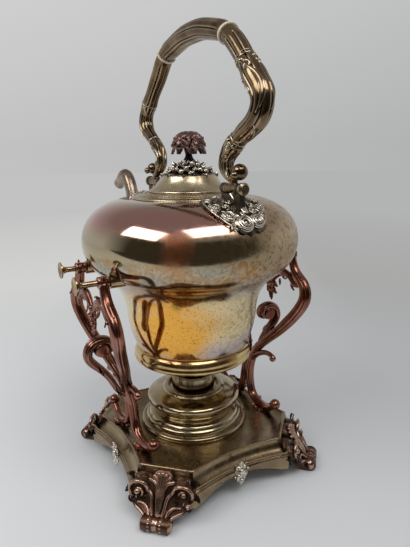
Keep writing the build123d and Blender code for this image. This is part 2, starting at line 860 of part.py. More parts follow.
plate_face = plate_top - rim_rise
leg_points = (
    (tilt_reach + 2, tilt_height - 2),
    (tilt_reach + 7.5, tilt_height - 15),
    (leg_belly_reach - 3.5, leg_belly_height + 11),
    (leg_belly_reach, leg_belly_height),
    (leg_belly_reach - 4.5, leg_belly_height - 13),
    (37, 127),
    (23.5, 111),
    (11.5, 98.5),
    (leg_waist_reach + 1.2, 86),
    (leg_waist_reach, leg_waist_height),
    (leg_waist_reach + 1.6, 58),
    (10, plate_face + 9.5),
    (stud_reach, plate_face + 3.6),
    (36, plate_face + 5),
    (43, plate_face + 9.5),
)
leg_stations = (
    (0.0, 7.5, 6.5),
    (0.08, 8.5, 8.0),
    (0.2, 9.5, 11.8),
    (0.34, 9.0, 10.5),
    (0.5, 8.5, 8.0),
    (0.66, 8.5, 7.4),
    (0.84, 8.0, 7.0),
    (1.0, 6.5, 5.6),
)
curl_points = ((3.5, 76), (7.5, 85.5), (15, 91.5), (25, 94.3), (curl_ball_reach, 93.5))
curl_stations = ((0.0, 7.0, 5.0), (0.5, 6.5, 5.2), (1.0, 5.0, 4.0))
for end, x_sign in ends:
    for side, y_sign in sides:
        place = [Vector(x_sign * x, y_sign * frame_y(z), z) for x, z in leg_points]
        curl_place = [Vector(x_sign * x, y_sign * frame_y(z), z) for x, z in curl_points]
        with BuildLine() as leg_route:
            Spline(*place)
        with BuildLine() as curl_route:
            Spline(*curl_place)
        ball_place = Vector(x_sign * foot_ball_reach, y_sign * frame_foot_y, plate_face + foot_ball_h)
        with BuildPart() as leg:
            loft_along(leg_route.edges()[0], Vector(0, 1, 0), leg_stations, 26)
            loft_along(curl_route.edges()[0], Vector(0, 1, 0), curl_stations, 6)
            with Locations(curl_place[-1] - Vector(0, 0, 1.6)):
                Sphere(curl_ball_radius, rotation=(0, 0, ball_turn[end]))
            with Locations(ball_place):
                Sphere(foot_ball_radius, rotation=(0, 0, ball_turn[end]))
            # Finial leaf at the top
            with BuildSketch(Plane.XZ.offset(-y_sign * (eye_middle - 2))):
                with BuildLine():
                    base = Vector(x_sign * (tilt_reach + 1), tilt_height + 1)
                    tip = Vector(x_sign * (tilt_reach + 8), tilt_height + finial_rise)
                    Spline(base - Vector(x_sign * 1, 0), tip, tangents=((x_sign * 0.2, 1), (x_sign, 1)))
                    heel = Vector(x_sign * (tilt_reach + 5), tilt_height - 3)
                    Spline(tip, heel, tangents=((-x_sign * 0.6, -1), (0, -1)))
                    Line(heel, base - Vector(x_sign * 1, 0))
                make_face()
            extrude(amount=-y_sign * 4)
            # Eye for the tilt pin
            with BuildSketch(Plane.XZ.offset(-y_sign * (eye_middle - eye_length / 2))):
                with Locations((x_sign * tilt_reach, tilt_height)):
                    Circle(eye_radius)
            extrude(amount=-y_sign * eye_length)
            with BuildSketch(Plane.XZ.offset(-y_sign * (eye_middle - eye_length))):
                with Locations((x_sign * tilt_reach, tilt_height)):
                    Circle(pin_radius + RUN_FIT)
            extrude(amount=-y_sign * 2 * eye_length, mode=Mode.SUBTRACT)
            # Pad and stud that hold the leg to the plate
            with BuildSketch(Plane.XY.offset(plate_face)):
                with Locations((x_sign * stud_reach, y_sign * frame_foot_y)):
                    Ellipse(9, 4.6)
            extrude(amount=3.2, taper=12)
            with BuildSketch(Plane.XY.offset(plate_face - stud_length)):
                with Locations((x_sign * stud_reach, y_sign * frame_foot_y)):
                    Circle(stud_radius)
            extrude(amount=stud_length + 1)
        save(leg, f"leg_{end}_{side}")

with BuildPart() as leg_nuts:
    with BuildSketch(Plane.XY.offset(plate_face - apron_sheet - nut_height)):
        with GridLocations(2 * stud_reach, 2 * frame_foot_y, 2, 2):
            RegularPolygon(nut_flats / 2, 6, major_radius=False)
            Circle(stud_radius, mode=Mode.SUBTRACT)
    extrude(amount=nut_height)
save(leg_nuts, "leg_nuts")

# Arched crest with a hanging leaf, between the tops of each side's legs
crest_half = (
    (crest_root, crest_root_height),
    (crest_root - 6, crest_root_height - 0.8),
    (crest_boss + 8.5, crest_height - 3.5),
    (crest_boss, crest_height),
    (crest_boss / 2, crest_height - 3.5),
)
crest_points = (*crest_half, (0, leaf_top), *((-x, z) for x, z in reversed(crest_half)))
crest_stations = (
    (0.0, 5.0, 4.4),
    (0.12, 5.0, 4.4),
    (0.28, 5.5, 7.5),
    (0.5, 4.5, 5.0),
    (0.72, 5.5, 7.5),
    (0.88, 5.0, 4.4),
    (1.0, 5.0, 4.4),
)
for side, y_sign in sides:
    with BuildLine() as crest_route:
        Spline(*[Vector(x, y_sign * frame_y(z), z) for x, z in crest_points])
    with BuildPart() as crest:
        loft_along(crest_route.edges()[0], Vector(0, 1, 0), crest_stations, 24)
        with BuildSketch(Plane.XZ.offset(-y_sign * (frame_y(crest_height) - leaf_thick / 2))):
            with BuildLine():
                Line((0, leaf_top), (leaf_width * 0.2, leaf_top))
                ThreePointArc(
                    (leaf_width * 0.2, leaf_top),
                    (leaf_width * 0.5, leaf_top - leaf_drop * 0.3),
                    (leaf_width * 0.26, leaf_top - leaf_drop * 0.5),
                )
                ThreePointArc(
                    (leaf_width * 0.26, leaf_top - leaf_drop * 0.5),
                    (leaf_width * 0.4, leaf_top - leaf_drop * 0.75),
                    (0, leaf_top - leaf_drop),
                )
                Line((0, leaf_top - leaf_drop), (0, leaf_top))
            make_face()
            mirror(about=Plane.YZ)
        extrude(amount=-y_sign * leaf_thick)
    save(crest, f"crest_{side}")

# Scrolled bracket that springs from the meeting of each side's legs
bracket_root_y = frame_y(bracket_root_height) + leg_stations[-2][1] / 2 + bracket_root_set
bracket_points = (
    (bracket_root_y, bracket_root_height),
    (bracket_root_y + 6.5, bracket_root_height + 3.5),
    (bracket_root_y + 13.5, bracket_root_height + 16),
    (93, bracket_top - 23.5),
    (bracket_out, bracket_top - 12),
    (bracket_out - 3.5, bracket_top - 3),
    (87, bracket_top),
    (75, bracket_top - 2),
)
for side, y_sign in sides:
    with BuildLine() as bracket_route:
        Spline(
            *[Vector(0, y_sign * y, z) for y, z in bracket_points],
            tangents=(Vector(0, y_sign, -0.25), Vector(0, -y_sign, -0.25)),
        )
    with BuildPart() as scroll:
        loft_along(
            bracket_route.edges()[0],
            Vector(1, 0, 0),
            ((0.0, 7.0, 5.0), (0.4, 9.0, 5.0), (0.75, 9.5, 5.0), (1.0, 10.0, 4.6)),
            16,
        )
        with BuildSketch(Plane.YZ.offset(-bracket_volute_width / 2)):
            with Locations((y_sign * (bracket_out - 16), bracket_top - 6.5)):
                Circle(bracket_volute_radius)
        extrude(amount=bracket_volute_width)
    save(scroll, f"scroll_bracket_{side}")

# Tilt pins: the two front ones are the pivots, and the rear one locks the kettle level.
# The locking pin is drawn out of its lug, as it is when the kettle is tilted.


def tilt_pin(x_sign, y_sign, draw, name):
    """Makes a pin with a flared and dished head, drawn outward by draw."""
    start = lug_face - pin_entry + draw
    with BuildPart() as pin:
        pin_plane = Plane(
            origin=(x_sign * tilt_reach, y_sign * start, tilt_height),
            x_dir=(0, y_sign, 0),
            z_dir=(y_sign, 0, 0),
        )
        with BuildSketch(pin_plane):
            with BuildLine():
                Polyline((0, 0), (0, pin_radius), (pin_length - 6.5, pin_radius))
                Spline(
                    (pin_length - 6.5, pin_radius),
                    (pin_length - 0.9, pin_head_radius),
                    tangents=((1, 0), (0.35, 1)),
                )
                Polyline(
                    (pin_length - 0.9, pin_head_radius),
                    (pin_length, pin_head_radius),
                    (pin_length - pin_dish, 0),
                    (0, 0),
                )
            make_face()
        revolve(axis=Axis((x_sign * tilt_reach, 0, tilt_height), (0, 1, 0)))
    save(pin, name)


tilt_pin(-1, -1, 0, "pivot_pin_left")
tilt_pin(-1, 1, 0, "pivot_pin_right")
tilt_pin(1, -1, lock_draw, "lock_pin")

# Well on the plate that the lamp drops into
well_top = plate_face + well_height
well_base = plate_face + well_floor + 3.5
with BuildPart() as well:
    with BuildSketch(Plane.XZ):
        with BuildLine():
            Polyline(
                (well_bore, well_top),
                (well_bore, well_base),
                (0, well_base),
                (0, well_base - well_floor),
                (well_step_radius - 6, well_base - well_floor),
                (well_step_radius, plate_face),
                (well_ring_radius, plate_face),
                (well_ring_radius, plate_face + 1.6),
            )
            ThreePointArc(
                (well_ring_radius, plate_face + 1.6),
                (well_ring_radius - 1.2, plate_face + 3.2),
                (well_step_radius + 1, plate_face + 3.6),
            )
            Line((well_step_radius + 1, plate_face + 3.6), (well_step_radius, plate_face + 5.4))
            Spline(
                (well_step_radius, plate_face + 5.4),
                (well_top_radius + 2.6, well_top - 2.2),
                (well_top_radius, well_top),
                tangents=((-0.2, 1), (-0.6, 1)),
            )
            Line((well_top_radius, well_top), (well_bore, well_top))
        make_face()
    revolve(axis=Axis.Z)
save(well, "lamp_well")

# Spirit lamp
lamp_seat = well_top + REST_GAP
lamp_cup = well_bore - 2 * SLIP_FIT
lamp_base = well_top - lamp_cup_depth
lamp_top = lamp_seat + lamp_height
bulge_z = lamp_seat + lamp_bulge_height
with BuildPart() as lamp:
    with BuildSketch(Plane.XZ):
        with BuildLine():
            Polyline((0, lamp_base), (lamp_cup, lamp_base), (lamp_cup, lamp_seat))
            Line((lamp_cup, lamp_seat), (well_top_radius - 1.5, lamp_seat))
            Spline(
                (well_top_radius - 1.5, lamp_seat),
                (well_top_radius - 1.0, lamp_seat + 5),
                (lamp_bulge_radius, bulge_z - 2),
                tangents=((0, 1), (0.1, 1)),
            )
            Spline(
                (lamp_bulge_radius, bulge_z - 2),
                (lamp_bulge_radius - 3, bulge_z + 2.6),
                (lamp_mouth_radius + 2, lamp_top - 2.2),
                tangents=((-0.1, 1), (-1, 0.1)),
            )
            Polyline(
                (lamp_mouth_radius + 2, lamp_top - 2.2),
                (lamp_mouth_radius, lamp_top),
                (lamp_mouth_radius - lamp_wall, lamp_top),
                (lamp_mouth_radius - lamp_wall, lamp_top - 3.4),
                (lamp_bulge_radius - 6, bulge_z + 0.6),
                (lamp_bulge_radius - 1.8, bulge_z - 2.2),
                (well_top_radius - 2.7, lamp_seat + 4.6),
                (well_top_radius - 2.9, lamp_seat + lamp_wall),
                (lamp_cup - lamp_wall, lamp_seat + lamp_wall),
                (lamp_cup - lamp_wall, lamp_base + lamp_wall),
                (0, lamp_base + lamp_wall),
                (0, lamp_base),
            )
        make_face()
    revolve(axis=Axis.Z)
save(lamp, "lamp_bowl")

cover_floor = lamp_top - 4.4
with BuildPart() as lamp_cover:
    with BuildSketch(Plane.XZ):
        with BuildLine():
            Polyline(
                (lamp_mouth_radius + 0.3, lamp_top),
                (lamp_mouth_radius + 0.3, lamp_top + 0.9),
                (lamp_mouth_radius - 2.6, lamp_top + 0.9),
                (lamp_mouth_radius - 2.6, cover_floor + lamp_wall),
                (cover_hole, cover_floor + lamp_wall),
                (cover_hole, cover_floor),
                (lamp_mouth_radius - lamp_wall - RUN_FIT, cover_floor),
                (lamp_mouth_radius - lamp_wall - RUN_FIT, lamp_top),
                (lamp_mouth_radius + 0.3, lamp_top),
            )
        make_face()
    revolve(axis=Axis.Z)
save(lamp_cover, "lamp_cover")

# Burner head: flange and wick tube, the outer collar round them, and the wick
burner_seat = cover_floor + lamp_wall + REST_GAP
tube_radius = wick_radius + wick_tube_wall
wick_top = burner_seat + burner_height + wick_show
with BuildPart() as burner_tube:
    with BuildSketch(Plane.XZ):
        with BuildLine():
            hub_radius = burner_radius - burner_wall - RUN_FIT
            Polyline(
                (wick_radius, burner_seat + burner_height - 1.5),
                (tube_radius, burner_seat + burner_height - 1.5),
                (tube_radius, burner_seat + 2.4),
                (hub_radius, burner_seat + 2.4),
                (hub_radius, burner_seat + lamp_wall),
                (burner_radius + 1.6, burner_seat + lamp_wall),
                (burner_radius + 1.6, burner_seat),
                (cover_hole - SLIP_FIT, burner_seat),
                (cover_hole - SLIP_FIT, cover_floor - 1),
                (cover_hole - SLIP_FIT - lamp_wall, cover_floor - 1),
                (cover_hole - SLIP_FIT - lamp_wall, burner_seat),
                (tube_radius, burner_seat),
                (tube_radius, burner_seat - 8),
                (wick_radius, burner_seat - 8),
                (wick_radius, burner_seat + burner_height - 1.5),
            )
        make_face()
    revolve(axis=Axis.Z)
save(burner_tube, "burner_tube")

with BuildPart() as burner_collar:
    with BuildSketch(Plane.XY.offset(burner_seat + lamp_wall)):
        Circle(burner_radius)
        Circle(burner_radius - burner_wall, mode=Mode.SUBTRACT)
    extrude(amount=burner_height - lamp_wall)
    collar_rim = burner_collar.faces().sort_by(Axis.Z)[-1].edges().sort_by(SortBy.LENGTH)[-1]
    fillet(collar_rim, burner_wall * 0.45)
save(burner_collar, "burner_collar")

with BuildPart() as wick:
    with BuildSketch(Plane.XY.offset(wick_top - wick_length)):
        Circle(wick_radius - RUN_FIT)
    extrude(amount=wick_length)
    fillet(wick.faces().sort_by(Axis.Z)[-1].edges(), 1.5)
save(wick, "wick")
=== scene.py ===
"""Looks of a silver-plated tilting kettle, its scroll stand and its spirit lamp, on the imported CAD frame.

Shapes are written in millimetres and leave their helpers in metres: mm() scales a place, and sweep, lathe, leaf,
scroll and blob scale the sizes that they are given.
"""

import logging
import math
import random
from collections.abc import Callable, Iterable, Sequence
from dataclasses import dataclass
from enum import Enum
from functools import cache, cached_property

import bmesh
import bpy
import numpy as np
from mathutils import Matrix, Vector, noise


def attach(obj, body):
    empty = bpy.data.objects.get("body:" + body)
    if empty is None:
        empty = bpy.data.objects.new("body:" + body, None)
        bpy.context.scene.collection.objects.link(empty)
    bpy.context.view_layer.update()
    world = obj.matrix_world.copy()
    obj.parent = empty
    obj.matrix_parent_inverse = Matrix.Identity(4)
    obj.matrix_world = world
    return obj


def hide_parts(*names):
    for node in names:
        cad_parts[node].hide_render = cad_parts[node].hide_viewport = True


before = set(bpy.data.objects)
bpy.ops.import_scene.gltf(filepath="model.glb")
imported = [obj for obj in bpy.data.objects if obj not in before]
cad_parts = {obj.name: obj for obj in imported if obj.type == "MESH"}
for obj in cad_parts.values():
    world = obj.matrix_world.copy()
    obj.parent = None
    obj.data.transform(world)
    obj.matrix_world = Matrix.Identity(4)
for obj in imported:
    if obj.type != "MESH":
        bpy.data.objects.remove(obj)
log = logging.getLogger("kettle")

BMesh = bmesh.types.BMesh
Ring = list[bmesh.types.BMVert]
Material = bpy.types.Material
Socket = bpy.types.NodeSocket
Color = tuple[float, float, float]
Point2 = tuple[float, float]
Point3 = tuple[float, float, float]
Frame = tuple[Vector, Vector, Vector]
Section = Callable[[float, float], float]

MM = 0.001
FULL_TURN = 2 * math.pi
QUARTER = math.pi / 2
UP = Vector((0, 0, 1))


class Place(Enum):
    """Where a piece is. The tag is how the pieces' names spell it."""

    @property
    def tag(self) -> str:
        """Gives the name in lower case."""
        return self.name.lower()


class End(Place):
    """The two ends of the kettle: the spout is at the front."""

    FRONT = -1
    REAR = 1


class Side(Place):
    """The two sides of the kettle, as a person sees them who pours from behind it."""

    LEFT = -1
    RIGHT = 1


# Shapes


def mm(x: float, y: float, z: float) -> Vector:
    """Gives a place in metres from millimetres."""
    return Vector((x, y, z)) * MM


def blend(low: float, high: float, share: float) -> float:
    """Gives the value at a share of the way from low to high."""
    return low + (high - low) * share


def smooth_step(low: float, high: float, value: float) -> float:
    """Rises smoothly from 0 at low to 1 at high."""
    part = min(max((value - low) / (high - low), 0.0), 1.0)
    return part * part * (3 - 2 * part)


def compass(turn: float) -> tuple[Vector, Vector]:
    """Gives the level direction at an angle from +X, and the one a quarter turn further."""
    return Vector((math.cos(turn), math.sin(turn), 0)), Vector((-math.sin(turn), math.cos(turn), 0))


def circle(radius: float, height: float, corners: int) -> list[Point3]:
    """Gives the corners of a level circle, the first one twice."""
    turns = (FULL_TURN * i / corners for i in range(corners + 1))
    return [(math.cos(turn) * radius, math.sin(turn) * radius, height) for turn in turns]


def smooth_path(points: Sequence[Sequence[float]], count: int) -> list[Vector]:
    """Runs a natural cubic spline through points and walks it in even steps.

    Args:
        points: The places that the line goes through.
        count: How many places to give back.

    Returns:
        Evenly spaced places on the line, both ends included.
    """
    places = np.array([list(point) for point in points], float)
    knots = np.concatenate([[0.0], np.cumsum(np.linalg.norm(np.diff(places, axis=0), axis=1))])
    gaps = np.diff(knots)
    size = len(knots)
    matrix = np.eye(size)
    right = np.zeros_like(places)
    for i in range(1, size - 1):
        matrix[i, i - 1 : i + 2] = gaps[i - 1], 2 * (gaps[i - 1] + gaps[i]), gaps[i]
        slope_in = (places[i] - places[i - 1]) / gaps[i - 1]
        slope_out = (places[i + 1] - places[i]) / gaps[i]
        right[i] = 6 * (slope_out - slope_in)
    bends = np.linalg.solve(matrix, right)
    fine = np.linspace(0, knots[-1], count * 12)
    spans = np.clip(np.searchsorted(knots, fine, side="right") - 1, 0, size - 2)
    gap = gaps[spans][:, None]
    after = (fine[:, None] - knots[spans][:, None]) / gap
    before = 1 - after
    line = before * places[spans] + after * places[spans + 1]
    line += ((before**3 - before) * bends[spans] + (after**3 - after) * bends[spans + 1]) * gap**2 / 6
    run = np.concatenate([[0.0], np.cumsum(np.linalg.norm(np.diff(line, axis=0), axis=1))])
    even = np.linspace(0, run[-1], count)
    return [Vector([float(np.interp(step, run, line[:, axis])) for axis in range(line.shape[1])]) for step in even]


def size_at(share: float, stations: Sequence[Point3]) -> Point2:
    """Gives the width and depth between the two stations that a share lies between."""
    for (start, *first), (end, *last) in zip(stations, stations[1:]):
        if share <= end:
            part = smooth_step(start, end, share)
            return blend(first[0], last[0], part), blend(first[1], last[1], part)
    return stations[-1][1], stations[-1][2]


def even(size: float) -> tuple[Point3, Point3]:
    """Gives the stations of a bar that is as thick at one end as at the other."""
    return (0.0, size, size), (1.0, size, size)


def round_section(angle: float, share: float) -> float:
    """A plain round bar."""
    return 1.0


def reeded(
    lobes: int, depth: float, width: float = 0.3, start: float = 0.0, end: float = 1.0, turn: float = 0.0
) -> Section:
    """Makes a section with narrow grooves between rounded reeds.

    Args:
        lobes: How many reeds go round the bar.
        depth: The grooves' depth, as a share of the radius.
        width: How wide a groove is, from 0 to 1.
        start: The share of the length where the grooves begin.
        end: The share of the length where they end.
        turn: Turns the pattern, in radians.

    Returns:
        The section's factor of the radius, by angle and share of the length.
    """
    run_out, swell = 0.06, 0.25

    def factor(angle: float, share: float) -> float:
        """Gives the share of the radius at an angle and a share of the length."""
        fade = smooth_step(start, start + run_out, share) * (1 - smooth_step(end - run_out, end, share))
        wave = math.sin((angle + turn) * lobes / 2) / width
        return 1 - depth * fade * math.exp(-wave * wave) + depth * swell * fade

    return factor


def frames_along(centres: Sequence[Vector], across: Vector) -> list[Frame]:
    """Gives (tangent, side, other) at each place of a route, the side lying along across."""
    frames = []
    for i, _ in enumerate(centres):
        ahead = centres[min(i + 1, len(centres) - 1)]
        behind = centres[max(i - 1, 0)]
        tangent = (ahead - behind).normalized()
        side = (across - tangent * across.dot(tangent)).normalized()
        frames.append((tangent, side, tangent.cross(side)))
    return frames


def rim_edges(ring: Iterable[bmesh.types.BMVert]) -> list[bmesh.types.BMEdge]:
    """Gives the edges that join a ring's own vertices."""
    members = set(ring)
    return [e for e in {e for v in ring for e in v.link_edges} if members.issuperset(e.verts)]


def next_ring(mesh: BMesh, ring: Ring) -> Ring:
    """Extrudes a closed ring of vertices and gives the new ring in the same order."""
    made = bmesh.ops.extrude_edge_only(mesh, edges=rim_edges(ring))["geom"]
    fresh = {v for v in made if isinstance(v, bmesh.types.BMVert)}
    partner = {}
    for vert in fresh:
        for edge in vert.link_edges:
            other = edge.other_vert(vert)
            if other not in fresh:
                partner[other] = vert
    return [partner[v] for v in ring]


def skin_rings(mesh: BMesh, ring: Ring, rows: Sequence, shape_row: Callable[[Ring, object], None]) -> None:
    """Grows a closed skin from a first ring, one extrusion per row, and closes both its ends.

    Args:
        mesh: The mesh that holds the first ring.
        ring: The first ring.
        rows: What each ring is shaped from.
        shape_row: Moves a ring's vertices to a row's places.
    """
    for number, row in enumerate(rows):
        if number:
            ring = next_ring(mesh, ring)
        shape_row(ring, row)
        if number in (0, len(rows) - 1):
            bmesh.ops.edgeloop_fill(mesh, edges=rim_edges(ring))


def start_ring(mesh: BMesh, segments: int) -> Ring:
    """Starts a shape from a circle and gives its vertices in order of their angle."""
    ring = bmesh.ops.create_circle(mesh, segments=segments, radius=1.0)["verts"]
    return sorted(ring, key=lambda v: math.atan2(v.co.y, v.co.x) % FULL_TURN)


def merge(whole: BMesh, part: BMesh) -> None:
    """Moves a finished part into a larger mesh, which keeps each operator's work small."""
    holder = bpy.data.meshes.new("part")
    part.to_mesh(holder)
    part.free()
    whole.from_mesh(holder)
    bpy.data.meshes.remove(holder)


def sweep(
    whole: BMesh,
    centres: Sequence[Vector],
    across: Vector,
    stations: Sequence[Point3],
    section: Section = round_section,
    segments: int = 16,
    rounded: bool = True,
) -> None:
    """Extrudes a ring of edges along a route, with its size and section changing on the way.

    Args:
        whole: The mesh that the bar is added to.
        centres: The route, in metres.
        across: The direction that the stations' widths lie along.
        stations: Rows of (share of the route, width, depth).
        section: The factor of the radius, by angle and share.
        segments: How many corners the ring has.
        rounded: Whether the ends are domed.
    """
    mesh = bmesh.new()
    frames = frames_along(centres, across)
    last = len(centres) - 1
    rows = [(i / last, centres[i], frames[i], 1.0) for i in range(last + 1)]
    if rounded:
        dome = [(math.sin(turn), math.cos(turn)) for turn in (0.5, 1.0, 1.4)]
        for index, sign in ((0, -1), (last, 1)):
            share = index / last
            reach = min(size_at(share, stations)) * MM / 2
            caps = [
                (share, centres[index] + frames[index][0] * sign * reach * out, frames[index], shrink)
                for out, shrink in dome
            ]
            rows = list(reversed(caps)) + rows if index == 0 else rows + caps
    angles = [FULL_TURN * i / segments for i in range(segments)]

    def shape_row(ring: Ring, row: tuple[float, Vector, Frame, float]) -> None:
        """Sets a ring of the bar by its share, middle, frame and shrink."""
        share, centre, (_, side, other), shrink = row
        width, depth = size_at(share, stations)
        for vert, angle in zip(ring, angles):
            factor = section(angle, share) * shrink * MM / 2
            vert.co = centre + side * (math.cos(angle) * width * factor) + other * (math.sin(angle) * depth * factor)

    skin_rings(mesh, start_ring(mesh, segments), rows, shape_row)
    merge(whole, mesh)


def lathe(
    whole: BMesh, profile: Sequence[Point2], place: Matrix | None = None, steps: int = 144, closed: bool = True
) -> None:
    """Spins a profile round the Z axis and joins its doubles.

    Args:
        whole: The mesh that the turned form is added to.
        profile: Points of (radius, height).
        place: Where the turned form goes.
        steps: How many steps the full turn has.
        closed: Whether the last point joins the first.
    """
    mesh = bmesh.new()
    verts = [mesh.verts.new((radius * MM, 0.0, height * MM)) for radius, height in profile]
    pairs = list(zip(verts, verts[1:]))
    if closed:
        pairs.append((verts[-1], verts[0]))
    edges = [mesh.edges.new(pair) for pair in pairs]
    bmesh.ops.spin(mesh, geom=verts + edges, cent=(0, 0, 0), axis=UP, angle=FULL_TURN, steps=steps, use_merge=True)
    bmesh.ops.remove_doubles(mesh, verts=mesh.verts, dist=1e-6)
    if place is not None:
        bmesh.ops.transform(mesh, matrix=place, verts=mesh.verts)
    merge(whole, mesh)


def softened(profile: Sequence[Point2], radius: float, steps: int = 3) -> list[Point2]:
    """Rounds the corners of a closed profile.

    Args:
        profile: Corners of (radius, height).
        radius: How much of each edge a round takes.
        steps: How many edges a round has.

    Returns:
        The rounded profile. Corners on the axis and nearly straight ones stay as they are.
    """
    nothing, straight, most = 1e-6, 2.9, 0.45
    corners = [Vector(point) for point in profile]
    line: list[Point2] = []
    for i, corner in enumerate(corners):
        into, out = corners[i - 1] - corner, corners[(i + 1) % len(corners)] - corner
        if min(corner.x, into.length, out.length) < nothing or into.angle(out) > straight:
            line.append((corner.x, corner.y))
            continue
        reach = min(radius, into.length * most, out.length * most)
        first, last = corner + into.normalized() * reach, corner + out.normalized() * reach
        for step in range(steps + 1):
            part = step / steps
            point = first * (1 - part) ** 2 + corner * 2 * part * (1 - part) + last * part**2
            line.append((point.x, point.y))
    return line


def tangent_arc(start: Point2, end: Point2, tangent: Point2, steps: int) -> tuple[list[Point2], Point2]:
    """Draws the arc that leaves start along a tangent and ends at end.

    Args:
        start: The arc's first point.
        end: The arc's last point.
        tangent: The direction in which it leaves.
        steps: How many edges it has.

    Returns:
        The arc's points after the first, and its direction at the end.
    """
    first, run = Vector(start), Vector(end) - Vector(start)
    heading = Vector(tangent).normalized()
    normal = Vector((-heading.y, heading.x))
    centre = first + normal * (run.length_squared / (2 * run.dot(normal)))
    spoke, arm = first - centre, Vector(end) - centre
    opening = math.atan2(spoke.x * arm.y - spoke.y * arm.x, spoke.dot(arm))
    points = []
    for step in range(1, steps + 1):
        turned = Matrix.Rotation(opening * step / steps, 2) @ spoke
        points.append((centre.x + turned.x, centre.y + turned.y))
    leaving = Matrix.Rotation(opening, 2) @ heading
    return points, (leaving.x, leaving.y)


def blob(whole: BMesh, centre: Vector, radius: float) -> None:
    """Adds a small ball, with more faces where it is larger than 4 mm."""
    mesh = bmesh.new()
    around, upward = (32, 20) if radius > 4 else (14, 9)
    bmesh.ops.create_uvsphere(mesh, u_segments=around, v_segments=upward, radius=radius * MM)
    bmesh.ops.translate(mesh, vec=centre, verts=mesh.verts)
    merge(whole, mesh)


def leaf(
    whole: BMesh,
    base: Vector,
    along: Vector,
    normal: Vector,
    length: float,
    width: float,
    curl: float = 0.15,
    lobes: int = 5,
    thick: float = 0.7,
) -> None:
    """Adds a cast leaf with a raised rib, lobed edges and a curling tip.

    Args:
        whole: The mesh that the leaf is added to.
        base: Where its stalk is, in metres.
        along: The way that it grows.
        normal: The way that its face looks.
        length: From stalk to tip.
        width: At its widest.
        curl: How far the tip lifts, as a share of the length.
        lobes: How many lobes each edge has.
        thick: The metal's thickness.
    """
    along = along.normalized()
    normal = (normal - along * normal.dot(along)).normalized()
    side = along.cross(normal)
    length, width = length * MM, width * MM
    mesh = bmesh.new()
    for vert in bmesh.ops.create_grid(mesh, x_segments=8, y_segments=14, size=0.5)["verts"]:
        aside, share = vert.co.x * 2, vert.co.y + 0.5
        outline = math.sin(math.pi * min(share * 0.93 + 0.07, 1.0) ** 0.8) ** 0.7
        scallop = 1 - 0.2 * (0.5 + 0.5 * math.cos(share * lobes * FULL_TURN)) * abs(aside)
        out = aside * width / 2 * outline * scallop
        rib = math.exp(-((aside / 0.16) ** 2)) * width * 0.07
        veins = math.cos((share * lobes + abs(aside) * 0.6) * FULL_TURN) * width * 0.035 * abs(aside)
        rise = curl * length * share**2.2 - width * 0.16 * aside * aside + rib + veins
        vert.co = base + along * (share * length) + side * out + normal * rise
    bmesh.ops.solidify(mesh, geom=mesh.faces[:], thickness=thick * MM)
    merge(whole, mesh)


def scroll(
    mesh: BMesh,
    eye: Vector,
    x_way: Vector,
    y_way: Vector,
    radius: float,
    thick: float,
    turns: float = 1.3,
    start: float = 0.0,
    tail: Sequence[Vector] = (),
) -> None:
    """Adds a volute: a bar that winds in from its outer turn to a small ball at its eye.

    Args:
        mesh: The mesh that the volute is added to.
        eye: The volute's middle, in metres.
        x_way: The first direction of its plane.
        y_way: The second direction of its plane.
        radius: The outer turn's radius.
        thick: The bar's thickness on the outer turn.
        turns: How many turns it has.
        start: Where the outer turn starts, in radians.
        tail: Places that the bar comes from, before it reaches the outer turn.
    """
    lift = x_way.cross(y_way).normalized()
    winding = []
    steps = max(6, int(turns * 9))
    for step in range(steps + 1):
        share = step / steps
        angle = start + turns * FULL_TURN * share
        reach = (radius * (1 - share) ** 0.85 + thick * 0.5 * share) * MM
        flat = x_way * (reach * math.cos(angle)) + y_way * (reach * math.sin(angle))
        winding.append(eye + flat + lift * thick * MM * share * 0.5)
    centres = smooth_path([*tail, *winding], max(14, int(turns * 16)) + 6 * len(tail))
    stations = ((0.0, thick * 0.75, thick * 0.75), (0.35, thick * 1.1, thick), (1.0, thick * 0.7, thick * 0.7))
    sweep(mesh, centres, lift, stations, segments=8)
    blob(mesh, eye + lift * thick * MM * 0.5, thick * 0.85)


# Finishes


